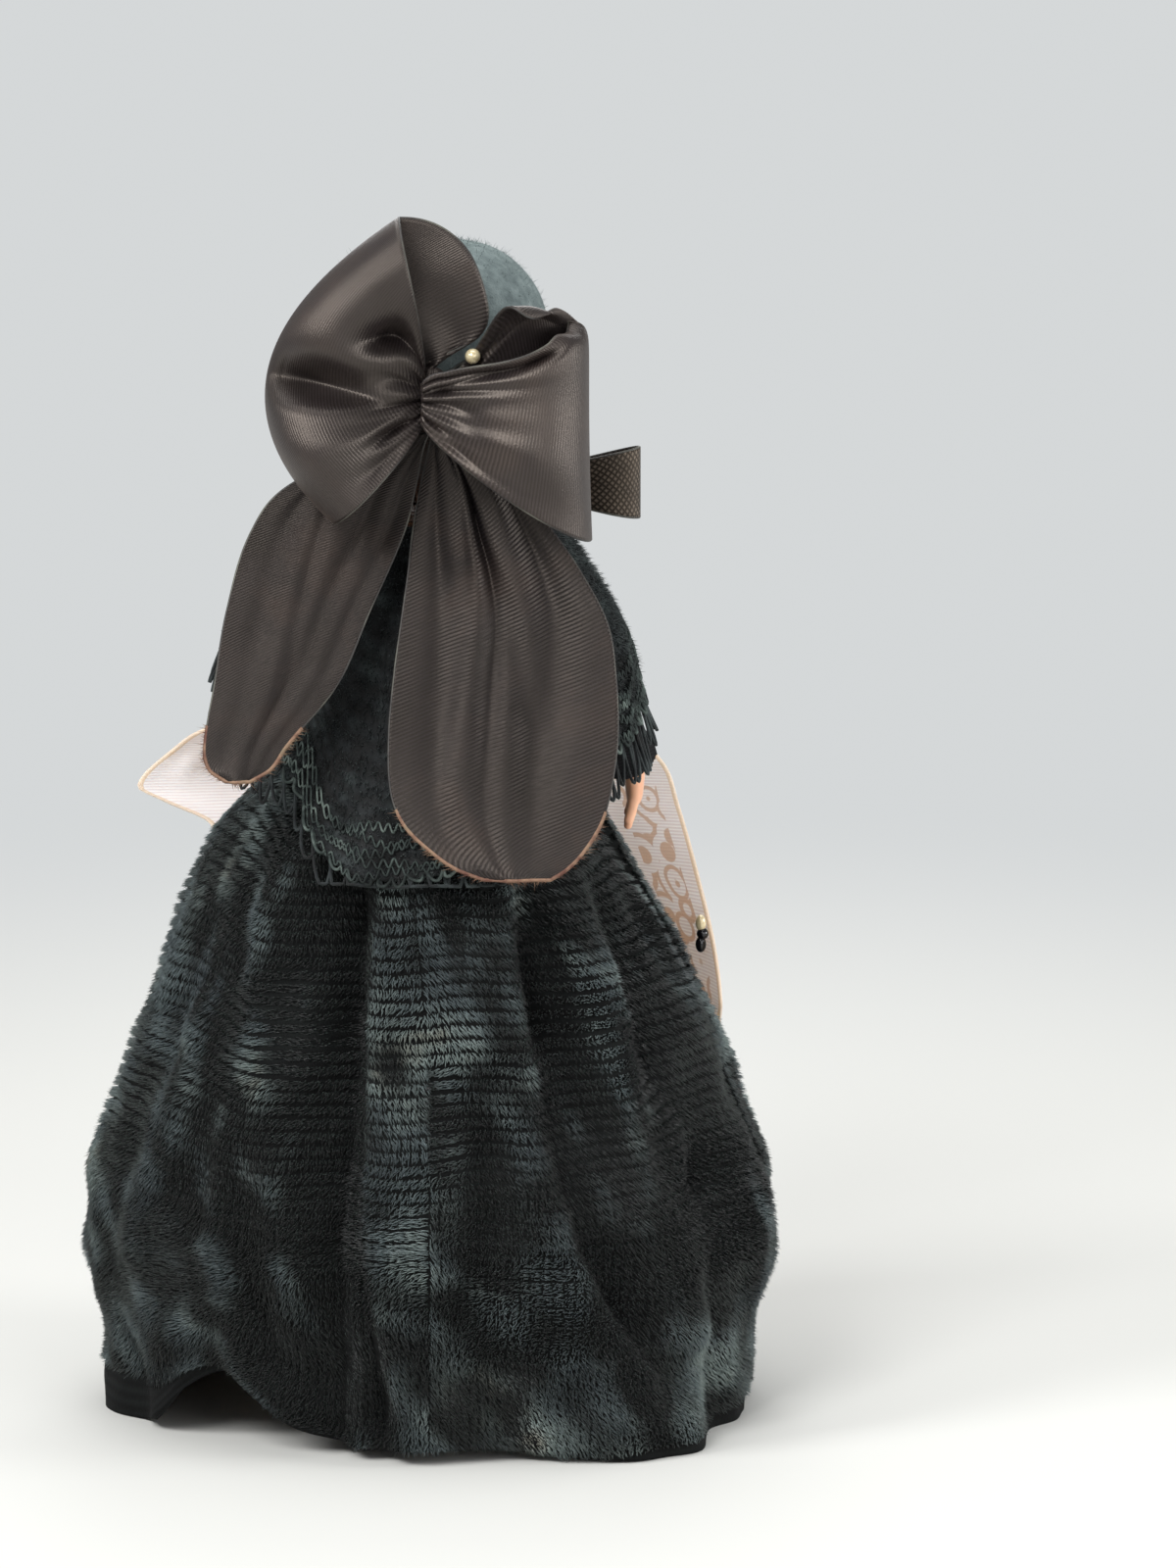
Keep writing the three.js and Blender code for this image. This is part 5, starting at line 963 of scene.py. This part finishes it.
for side, flat in (("left", (0.03, 0.048)), ("right", (0.036, 0.075))):
    points = gridOf(tailSurface(tails[side]), 96, 150)
    tail = clothPiece(f"bow_{side}_tail_ribbon", points, (36, 66), 0.5, "twillReverseShaded", "head")
    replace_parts(tail, f"bow_{side}_tail")
    edges = cordPiece(f"bow_{side}_tail_selvedges", [points[:, 0], points[:, -1]], selvedge, "wovenSelvedge",
                      "head", outward=(0, -1, 0.1))
    rim, inside = cutOutline(points, tails["cut"], 0), cutOutline(points, tails["cut"], 4)
    hem = cordPiece(f"bow_{side}_tail_end", [rim], tails["hem"], "frayedSelvedge", "head",
                    outward=(0, -1, 0.1))
    threads = frayedEnd(f"bow_{side}_tail_threads", rim, inside, tails["threads"], tails["thread"])
    print(side, "tail", round(surfaceArea(points)))

# Head: half widths and depths at heights over the chin, as shares of the height from chin to crown
headTall = 40
crown = chin + headTall
headShares = [0, 0.05, 0.15, 0.28, 0.43, 0.6, 0.78, 0.9, 0.97, 1]


def headSize(values, half):
    neckTop = (chin - 2.8, 6.3)
    return [neckTop] + [(chin + headTall * share, value * half) for share, value in zip(headShares, values)]


headWide = headSize([0.5, 0.66, 0.84, 0.95, 1, 1, 0.9, 0.68, 0.4, 0.06], 16.5)
headFront = headSize([0.72, 0.9, 0.97, 1, 1, 1, 0.9, 0.68, 0.4, 0.06], 16.6)
headBack = headSize([0.38, 0.54, 0.8, 0.94, 1, 1, 0.9, 0.68, 0.4, 0.06], 17.6)


def headHeight(z, extra):
    # the bare head's height under a point of a layer that lies extra mm off it
    return np.clip(chin + (z - chin) * headTall / (headTall + extra), chin - 8, crown)


def headLayer(u, z, extra):
    sample = headHeight(z, extra)
    turn = 2 * np.pi * u
    depth = np.where(np.sin(turn) > 0, along(headFront, sample), along(headBack, sample)) + extra
    return np.stack([(along(headWide, sample) + extra) * np.cos(turn), depth * np.sin(turn), z], axis=-1)


# Hair: combed back from the face, down to the nape
hair = {
    "outer": 2.3, "bottom": 156.2, "faceHalfWidth": 13.2, "faceMiddle": chin + 13.6, "faceHalfHeight": 16.6,
    "strands": 230, "nape": (157, 9, 10.5),  # the nape's height, half width and depth
}


def hairSurface(u, v, extra):
    low = hair["bottom"] + 5 * bump(np.abs(2 * u - 1) - 1, 0.35)
    high = crown + hair["outer"]
    z = low + (high - low) * np.sin(np.clip(v, 0, 1) * np.pi / 2) ** 1.1
    share = np.clip(1 - ((z - hair["faceMiddle"]) / hair["faceHalfHeight"]) ** 2, 0, 1)
    opening = hair["faceHalfWidth"] * np.sqrt(share)
    sample = headHeight(z, extra)
    nape, napeWide, napeDeep = hair["nape"]
    wide = np.maximum(along(headWide, sample), napeWide * bump(z - nape, 6)) + extra
    hairline = np.arccos(np.clip(opening / wide, 0, 0.985))
    turn = hairline - u * (np.pi + 2 * hairline)
    back = np.maximum(along(headBack, sample), napeDeep * bump(z - nape, 7)) + extra
    depth = np.where(np.sin(turn) > 0, along(headFront, sample) + extra, back)
    return np.stack([wide * np.cos(turn), depth * np.sin(turn), z], axis=-1)


def combed(u, v):
    lock = 0.35 * np.abs(np.sin(46 * u + 1.5 * np.sin(5 * v))) + 0.15 * np.sin(131 * u + 3 * v)
    return hairSurface(u, v, hair["outer"] - 0.9 + lock)


hairPoints = gridOf(combed, 260, 70)
hairCap = clothPiece("hair_cap", hairPoints, (110, 60), 0.9, "combedHair", "head", offset=1)
strandPaths = []
for place in np.sort(dice.random(hair["strands"])):
    rise = np.linspace(dice.uniform(-0.01, 0.05), dice.uniform(0.75, 1), 16)
    wander = place + 0.006 * np.sin(rise * 7 + place * 90)
    strandPaths.append(hairSurface(np.clip(wander, 0.002, 0.998), rise, hair["outer"] + 0.15))
strands = cordPiece("hair_strands", strandPaths, 0.17, "combedHair", "head", sides=4)
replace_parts(hairCap, "wig")

# Felt cap over the hair: how far it lies off the head, its rim's height over the chin and tilt to the front
felt = {"off": 3.5, "rim": 25.5, "tilt": 0.34, "depth": 19.5, "closing": 0.12, "middle": (0, 0, 172),
        "fibres": 5200, "fibre": 0.85}


def capSurface(u, v):
    high = crown + felt["off"]
    rim = chin + felt["rim"] + math.tan(felt["tilt"]) * felt["depth"] * np.sin(2 * np.pi * u)
    z = rim + (high - rim) * np.sin(v * np.pi / 2) ** 1.1
    closing = np.sqrt(np.clip((1 - v) / felt["closing"], 0, 1))  # the rows close to a point at the crown
    shell = headLayer(u, z - 0.8 * (1 - closing) ** 2, felt["off"])
    return shell * np.stack([closing, closing, np.ones_like(closing)], axis=-1)


capPoints = gridOf(capSurface, 120, 40, closed=True)
cap = clothPiece("felt_cap_cloth", capPoints[::-1], (120, 30), 1.1, "brushedFelt", "head", closed=True)
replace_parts(cap, "felt_cap")
feltAt = capPoints.reshape(-1, 3)[dice.integers(0, capPoints.shape[0] * capPoints.shape[1], felt["fibres"])]
feltOut = unit(feltAt - felt["middle"])
feltTips = feltAt + felt["fibre"] * feltOut + dice.normal(0, 0.5, feltAt.shape)
feltFuzz = tuftPiece("felt_fuzz", feltAt + 0.3 * feltOut, feltTips, 0.05, "brushedFelt", "head")
print("cap", round(surfaceArea(capPoints, True)))

# Shawl of chenille lace. Places down the cloth run from 0 at the neck; reach is how far down its edge lies,
# by degrees round from the middle of the back
shawl = {
    "widths": [(0, 10.4), (0.12, 15.5), (0.25, 21.4), (0.4, 26.4), (0.6, 32), (0.8, 36.4), (1, 40),
               (1.3, 42)],
    "backs": [(0, 9.6), (0.25, 12.6), (0.4, 14.3), (0.6, 17.3), (0.8, 21.1), (1, 28.1), (1.3, 38.3)],
    "fronts": [(0, 10.6), (0.12, 11.8), (0.25, 13), (0.4, 14.8), (0.6, 17.6), (0.8, 20), (1, 21), (1.3, 22)],
    "heights": [(0, 154.6), (0.12, 154.3), (0.25, 153.2), (0.4, 147), (0.6, 137), (0.8, 123.5), (1, 111),
                (1.3, 98)],
    "reach": [(-172, 0.62), (-158, 0.6), (-142, 0.44), (-118, 0.39), (-100, 0.48), (-80, 0.66), (-58, 0.8),
              (-42, 0.9), (-31, 0.98), (-22, 1.2), (-12, 1.28), (14, 1.2), (40, 0.95), (68, 0.84), (86, 0.76),
              (100, 0.66), (118, 0.57), (142, 0.56), (158, 0.6), (172, 0.62)],
    "leftFullness": 1.06, "armBulge": (-122, 36, 10), "loops": 96, "fringe": 0.15, "edge": 172,
    "tufts": 48000,
}


def shawlSurface(degrees, down, out=0.0):
    # out lifts a point off the cloth
    turn = np.radians(degrees)
    sine, cosine = np.sin(turn), np.cos(turn)
    square = np.where(cosine < 0, 0.84, 0.96)
    pinch = 1 - 0.32 * bump(np.abs(degrees) - 180, 30) * np.minimum(1, down / 0.8)
    at, wide, deep = shawl["armBulge"]
    bulge = deep * bump(roundDifference(degrees, at), wide) * np.minimum(1, down / 0.45)
    depth = np.where(cosine < 0, along(shawl["fronts"], down) * pinch + bulge, along(shawl["backs"], down))
    full = np.where(sine < 0, shawl["leftFullness"], 1)
    low = np.clip(down - 0.35, 0, 1)
    crumple = low * (0.55 * np.sin(0.13 * degrees + 9 * down) + 0.45 * np.sin(0.31 * degrees - 14 * down + 1))
    crumple = crumple + 1.3 * bump(degrees + 14, 26) * low**2 * np.sin(0.42 * degrees + 6 * down)
    out = out + crumple
    return np.stack([
        (along(shawl["widths"], down) * full + out) * np.sign(sine) * np.abs(sine) ** square,
        -(depth + out) * np.sign(cosine) * np.abs(cosine) ** square,
        along(shawl["heights"], down) - 3 * bump(np.abs(degrees) - 180, 50) * (1 - down) + 0.3 * out,
    ], axis=-1)


def shawlAt(u, v, out=0.0):
    degrees = shawl["edge"] * (2 * u - 1)
    return shawlSurface(degrees, along(shawl["reach"], degrees) * v, out)


shawlPoints = gridOf(shawlAt, 260, 70)
shawlCloth = clothPiece("lace_shawl", shawlPoints, (190, 48), 0.6, "chenilleLace", "torso")
# the pile sits in wavy rows of chenille, with more of its tufts towards the wider edge
tuftU, tuftV = dice.random(shawl["tufts"]), dice.random(shawl["tufts"]) ** 0.8
rowShare = np.abs((tuftV * 26 + 0.35 * np.sin(tuftU * 60)) % 1 - 0.5)
shawlRoots = shawlAt(tuftU, tuftV, 0.2)
shawlTips = shawlAt(tuftU + dice.normal(0, 0.0016, tuftU.shape), tuftV + 0.012, 0.6 + 1.7 * rowShare)
shawlTips += dice.normal(0, 0.35, shawlRoots.shape)
shawlPile = tuftPiece("lace_pile", shawlRoots, shawlTips, 0.11, "chenilleLace", "torso")
netPaths = []
for row, place in enumerate(np.linspace(0.86, 0.985, 5)):
    run = np.linspace(0.004, 0.996, 2400)
    wave = np.sin(2 * np.pi * (1.7 * shawl["loops"] * run + 0.5 * (row % 2)) + 1.5 * np.sin(40 * run + row))
    wander = 0.012 * np.sin(61 * run + 3 * row) + 0.008 * np.sin(173 * run + row)
    netPaths.append(shawlAt(run, place + wander + 0.012 * wave, 0.75 + 0.3 * np.sin(90 * run + row)))
net = cordPiece("lace_net", netPaths, 0.2, "laceEdge", "torso", sides=4)
edgePaths, loopPaths = [], []
turnShare = np.linspace(0, 1, 11)
for loop in range(shawl["loops"]):
    start = (shawl["edge"] - 1) * (2 * (loop + dice.uniform(-0.2, 0.2)) / shawl["loops"] - 1)
    for paths, wide, longest, out in ((edgePaths, 3.0, 0.035, 0.5), (loopPaths, 4.6, shawl["fringe"], 0.1)):
        long = longest * dice.uniform(0.7, 1.0)
        lean = dice.uniform(-1, 1)
        swing = np.sin(np.pi * turnShare)
        degrees = np.clip(start + wide * turnShare + lean * swing, 0.1 - shawl["edge"], shawl["edge"] - 0.1)
        down = along(shawl["reach"], degrees) - 0.01 + long * swing**0.7
        paths.append(shawlSurface(degrees, down, out + 0.6 * swing * dice.uniform(0, 1)))
edgeLoops = cordPiece("lace_edge_loops", edgePaths, 0.3, "laceEdge", "torso")
fringe = cordPiece("lace_fringe", loopPaths, 0.3, "chenilleLace", "torso")
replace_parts(shawlCloth, "shawl")
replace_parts(fringe, "shawl_fringe")
print("shawl", round(surfaceArea(shawlPoints)))

# Apron of printed satin, gathered under its band. Its sides are half widths by height from the top, edge is
# how far they lie in front of the middle, and over the sewn height the cloth lies against the band
apronTop = 119.4
apron = {
    "length": 78,
    "right": [(-78, 40), (-70, 47), (-54, 50), (-42, 49), (-30, 46), (-20, 43), (-12, 40), (-5, 31.8),
              (0, 14.5)],
    "left": [(-78, 40), (-70, 46), (-54, 47), (-34, 42), (-23, 39.4), (-19, 48), (-16.5, 52.5), (-10, 46.5),
             (-4, 38), (-1.5, 25), (0, 14.5)],
    "edge": [(-78, 24), (-54, 9), (-42, 13), (-30, 24), (-17, 31), (-5, 25), (0, 4)],
    "sewn": 1.5, "band": (13.9, 11.3, 1.35),  # the band's half width and depth, and how far round it reaches
    "gap": 1.35,  # from the skirt's outline, which leaves room for its pile
}
apronFronts = [(z, depth + apron["gap"]) for z, depth in skirtDepth[:-1]] + [(apronTop, 12.6)]


def apronSurface(u, v):
    w = 2 * u - 1
    fall = -apron["length"] * v**1.15
    z = apronTop + fall
    side = np.where(w > 0, along(apron["right"], fall), along(apron["left"], fall))
    front = along(apronFronts, z) + 5 * bump(fall + 11, 8) + 0.6 * (1 + np.cos(6 * np.pi * w)) * (1 - v)
    front = front + 0.25 * np.sin(38 * w) * (1 - v) ** 2
    edge = np.minimum(along(apron["edge"], fall), front * 0.92)
    wide = np.maximum(side / np.sqrt(1 - (edge / front) ** 2), along(skirtSide, z) + apron["gap"])
    turn = np.arcsin(np.minimum(side / wide, 0.99)) * np.abs(w)
    sewn = bump(fall, apron["sewn"])
    bandX, bandY, bandTurn = apron["band"]
    x = wide * np.sin(turn) * (1 - sewn) + bandX * np.sin(bandTurn * np.abs(w)) * sewn
    y = front * np.cos(turn) * (1 - sewn) + bandY * np.cos(bandTurn * np.abs(w)) * sewn
    return np.stack([np.sign(w) * x, y, z], axis=-1)


apronPoints = gridOf(apronSurface, 160, 90)
apronCloth = clothPiece("apron_cloth", apronPoints, (110, 84), 0.45, "printedSatin", "torso")
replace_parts(apronCloth, "apron")
print("apron", round(surfaceArea(apronPoints)))

# Moulded and sewn pieces that follow their solid, made smooth
def smoothCopy(node, voxel, rounds, look, body, waves=()):
    # waves are the cloth's creases: mm deep, number round, turns to a mm down
    solid = bpy.data.objects[node]
    mesh = solid.data.copy()
    mesh.transform(solid.matrix_world)
    piece = bpy.data.objects.new(node + "_smooth", mesh)
    bpy.context.scene.collection.objects.link(piece)
    applyModifier(piece, "WELD", {"merge_threshold": 1e-6})
    applyModifier(piece, "REMESH", {"mode": "VOXEL", "voxel_size": voxel / 1000})
    applyModifier(piece, "SMOOTH", {"factor": 0.5, "iterations": rounds})
    mesh = piece.data
    count = len(mesh.vertices)
    if waves:
        spot = np.empty(count * 3)
        mesh.vertices.foreach_get("co", spot)
        spot = spot.reshape(-1, 3) * 1000
        middle = spot.mean(axis=0)
        turn = np.arctan2(spot[:, 1] - middle[1], spot[:, 0] - middle[0])
        lift = sum(deep * np.sin(around * turn + 2 * np.pi * down * spot[:, 2] + 2.1 * around)
                   for deep, around, down in waves)
        outward = np.stack([np.cos(turn), np.sin(turn), np.zeros(count)], axis=1)
        mesh.vertices.foreach_set("co", ((spot + outward * lift[:, None]) / 1000).ravel())
    mesh.polygons.foreach_set("use_smooth", [True] * len(mesh.polygons))
    mesh.materials.clear()
    mesh.materials.append(finish[look])
    chart = mesh.uv_layers.new(name="cloth")
    corner = np.empty(len(mesh.loops), int)
    mesh.loops.foreach_get("vertex_index", corner)
    spot = np.empty(count * 3)
    mesh.vertices.foreach_get("co", spot)
    spot = spot.reshape(-1, 3)[corner] * 1000
    places = np.stack([spot[:, 0] + spot[:, 1], spot[:, 2]], axis=1)
    chart.data.foreach_set("uv", places.astype(np.float32).ravel())
    if body:
        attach(piece, body)
    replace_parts(piece, node)
    return piece


for node, voxel, rounds, body in (
    ("head_front", 0.42, 5, "head"), ("head_back", 0.5, 5, "head"), ("right_arm", 0.34, 5, "right_arm"),
    ("left_arm", 0.34, 5, "left_arm"), ("right_leg", 0.5, 6, "right_leg"), ("left_leg", 0.5, 6, "left_leg"),
):
    smoothCopy(node, voxel, rounds, "mouldedSkinPlastic", body)
for side in ("right", "left"):
    smoothCopy(f"{side}_shoe", 0.3, 4, "mouldedVinyl", f"{side}_leg")
sleeveWaves = [(0.2, 2, 0.16), (0.1, 5, 0.1)]
sewn = [
    # node, voxel, look, slot, body, what it is stretched over, creases, width and length flat
    ("bodice", 0.35, "blackCotton", "black_cotton", "torso", "torso_front", [(0.12, 9, 0.05)], (0.1, 0.042)),
    ("knickers", 0.35, "plainCotton", "white_cotton", "torso", "torso_front", [(0.12, 14, 0.02)],
     (0.075, 0.024)),
    *((f"{arm}_sleeve", 0.34, "blackCotton", "black_cotton", f"{arm}_arm", f"{arm}_arm", sleeveWaves,
       (0.034, 0.045)) for arm in ("right", "left")),
]
for node, voxel, look, slot, body, under, waves, flat in sewn:
    piece = smoothCopy(node, voxel, 2, look, body, waves)
    half = 5e5 * sum(face.area for face in piece.data.polygons)
    print(node, "half its skin is mm2", round(half), "flat", round(flat[0] * flat[1] * 1e6))
waistband = smoothCopy("apron_waistband", 0.3, 2, "printedSatin", "torso", [(0.1, 40, 0.0)])

# Narrow ribbon from under the cap, round the chin and up to the cap again; a share at each end is tucked in
chinBand = {"width": 12, "side": 19.9, "top": chin + 21, "bottom": chin - 2.7, "ends": 0.1, "tucked": 8,
            "in": 1.5, "narrowed": 0.38, "headRound": 21}


def chinBandSurface(u, v):
    run = (1 + 2 * chinBand["ends"]) * (v - 0.5)  # from -0.5 to 0.5 between the two tucked ends
    turn = np.clip(run, -0.5, 0.5) * np.pi
    tucked = np.maximum(np.abs(run) - 0.5, 0) / chinBand["ends"]
    sine, cosine = np.sin(turn), np.maximum(np.cos(turn), 0)
    x = (chinBand["side"] * np.abs(sine) ** 0.82 - chinBand["in"] * tucked) * np.sign(sine)
    z = chinBand["top"] + (chinBand["bottom"] - chinBand["top"]) * cosine**0.72 + chinBand["tucked"] * tucked
    width = chinBand["width"] * (1 - chinBand["narrowed"] * cosine**2)
    middle = chinBand["width"] * (0.2 + 0.83 * cosine**2)
    y = middle + width * (u - 0.5)
    roundHead = np.sqrt(1 - (np.clip(y, 0, 18) / chinBand["headRound"]) ** 2)  # the head narrows to the front
    return np.stack([x * (1 - np.abs(sine) * (1 - roundHead)), y, z], axis=-1)


chinPoints = gridOf(chinBandSurface, 20, 160)
chinRibbon = clothPiece("chin_ribbon_cloth", chinPoints, (12, 88), 0.45, "narrowRibbon", "head")
chinRims = cordPiece("chin_ribbon_selvedges", [chinPoints[:, 0], chinPoints[:, -1]], selvedge,
                     "wovenSelvedge", "head")
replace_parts(chinRibbon, "chin_ribbon")
print("chin ribbon", round(surfaceArea(chinPoints)))

# Elastic loops of the legs where they hang on the neck bar, made smooth and attached to no body
for side in ("right", "left"):
    loop = smoothCopy(f"{side}_leg_elastic", 0.22, 2, "coveredElastic", None)
    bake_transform(loop)

# Narrow ribbon bow at the right jaw
jaw = {"knot": (17.8, 7.2, 160.3), "radius": 2.4, "reach": 17.8, "width": 12}


def jawLoop(reachX, reachY, height, knotShare):
    length = math.hypot(reachX, reachY)
    forward = np.array([reachX / length, reachY / length, 0])
    sideways = np.array([-forward[1], forward[0], 0])
    start = jaw["radius"] * knotShare + 0.7

    def at(u, v):
        swell = np.sin(np.pi * v)
        away = (start + (length - start) * swell)[..., None] * forward
        apart = (2.6 * np.sin(2 * np.pi * v) + 0.7 * np.cos(np.pi * v)
                 + 0.25 * np.sin(9 * u + 2) * (1 - swell))[..., None] * sideways
        rise = (u - 0.5) * height * (0.45 + 0.55 * swell) + 0.5 * swell
        return np.array(jaw["knot"]) + away + apart + rise[..., None] * np.array([0, 0, 1.0])
    return at


for name, loop, flat in (
    ("back", jawLoop(jaw["reach"], -0.22 * jaw["reach"], jaw["width"], 0.9), (0.0115, 0.038)),
    ("front", jawLoop(0.28 * jaw["reach"], 0.65 * jaw["reach"], 0.8 * jaw["width"], 1.1), (0.01, 0.022)),
):
    points = gridOf(loop, 24, 90)
    ribbon = clothPiece(f"jaw_bow_{name}_ribbon", points, (12, 40), 0.45, "narrowRibbon", "head")
    rims = cordPiece(f"jaw_bow_{name}_selvedges", [points[:, 0], points[:, -1]], 0.28, "wovenSelvedge",
                     "head", outward=(0.2, -0.2, 1))
    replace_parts(ribbon, f"chin_bow_{name}_loop")
    print("jaw bow", name, round(surfaceArea(points)))
jawKnot = smoothCopy("chin_bow_knot", 0.3, 4, "narrowRibbon", "head")


# Beads and eyes in place of their solids
def middleOf(node):
    solid = bpy.data.objects[node]
    corners = np.array([solid.matrix_world @ Vector(corner) for corner in solid.bound_box])
    return (corners.min(axis=0) + corners.max(axis=0)) / 2


def beadPiece(name, middle, radius, look, body, stretch=(1, 1, 1)):
    bpy.ops.object.select_all(action="DESELECT")
    bpy.ops.mesh.primitive_uv_sphere_add(segments=48, ring_count=24, radius=radius / 1000, location=middle,
                                         scale=stretch)
    piece = bpy.context.object
    piece.name = name
    bpy.ops.object.transform_apply(location=True, rotation=True, scale=True)
    bpy.ops.object.shade_smooth()
    piece.data.materials.append(finish[look])
    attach(piece, body)
    return piece


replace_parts(beadPiece("pearl_head", middleOf("pin_pearl"), 1.3, "pearlLacquer", "head"), "pin_pearl")
ornament, beadDrop, longBead = middleOf("apron_ornament"), (0, 0, 0.0019), (0.75, 0.7, 1.15)
creamBead = beadPiece("ornament_cream_bead", ornament + beadDrop, 1.25, "pearlLacquer", "torso",
                      longBead)
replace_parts(creamBead, "apron_ornament")
beadPiece("ornament_middle_bead", ornament + (0.0003, 0, 0), 1.05, "jetBead", "torso")
beadPiece("ornament_low_bead", ornament - beadDrop, 1.25, "jetBead", "torso", longBead)
eyeRadius = 4.2
for side in ("right", "left"):
    eye = beadPiece(f"{side}_eye_ball", middleOf(f"{side}_eye"), eyeRadius, f"{side}EyeEnamel", "eyes")
    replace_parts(eye, f"{side}_eye")

# CAD pieces that keep their shape get their finish
kept = {
    "mouldedSkinPlastic": ["torso_front", "torso_back"],
    "drawnSteelWire": ["neck_bar", "right_arm_hook", "left_arm_hook", "right_leg_hook", "left_leg_hook",
                       "pin_shaft", "eye_rocker"],
    "castLead": ["eye_weight"],
    "coveredElastic": ["arm_elastic"],
    "blackCotton": ["eye_stop_pad"],
}
for look, nodes in kept.items():
    for node in nodes:
        slots = bpy.data.objects[node].data.materials
        slots.clear()
        slots.append(finish[look])

# Floor, lamps and camera
bpy.ops.object.select_all(action="DESELECT")
bpy.ops.mesh.primitive_plane_add(size=light["floorSize"], location=(0, 0, 0))
floor = bpy.context.object
floor.name = "floor"
paleFloor = {"Roughness": 0.9, "Base Color": linear(light["floor"])}
floorFinish, floorTree, floorShader = newFinish("paleFloor", paleFloor)
fromDoll = addNode(floorTree, "VectorMath", {"operation": "LENGTH"},
                   {0: addNode(floorTree, "TexCoord").outputs["Object"]})
faraway = addNode(
    floorTree, "MapRange", {"interpolation_type": "SMOOTHSTEP", "From Min": 0.22, "From Max": 0.6},
    {"Value": fromDoll.outputs["Value"]},
)
seen = {"Color": linear(light["seen"]), "Strength": light["seenStrength"]}
plainTone = addNode(floorTree, "Emission", seen)
floorMix = addNode(floorTree, "MixShader", links={0: faraway.outputs[0], 1: floorShader.outputs[0],
                                                  2: plainTone.outputs[0]})
floorTree.links.new(floorMix.outputs[0], floorTree.nodes["Material Output"].inputs["Surface"])
floor.data.materials.append(floorFinish)
for name in ("key", "left", "fill", "right", "top", "back"):
    place, size, power = light[name]
    lamp = bpy.data.lights.new(name, "AREA")
    lamp.size, lamp.energy = size / 1000, power
    source = bpy.data.objects.new(name, lamp)
    source.location = Vector(place) / 1000
    source.rotation_euler = (Vector((0, 0, 0.1)) - source.location).to_track_quat("-Z", "Y").to_euler()
    bpy.context.scene.collection.objects.link(source)
world = bpy.data.worlds.new("studio")
bpy.context.scene.world = world
world.use_nodes = True
sky = world.node_tree
sky.nodes.clear()
rays = addNode(sky, "LightPath")
softWhite = addNode(sky, "Background", {"Color": linear("eef1f4"), "Strength": light["world"]})
plainBackdrop = addNode(sky, "Background", seen)
whichSky = addNode(sky, "MixShader", links={0: rays.outputs["Is Camera Ray"], 1: softWhite.outputs[0],
                                            2: plainBackdrop.outputs[0]})
addNode(sky, "OutputWorld", links={"Surface": whichSky.outputs[0]})
bpy.context.scene.view_settings.view_transform = "Standard"

lens = bpy.data.cameras.new("camera")
lens.lens, lens.sensor_width, lens.clip_start = view["lens"], 36, 0.01
camera = bpy.data.objects.new("camera", lens)
bpy.context.scene.collection.objects.link(camera)
target = Vector(view["target"]) / 1000
lift = math.radians(view["lift"])
camera.location = target + view["distance"] / 1000 * Vector((0, -math.cos(lift), math.sin(lift)))
camera.rotation_euler = (target - camera.location).to_track_quat("-Z", "Y").to_euler()
bpy.context.scene.camera = camera
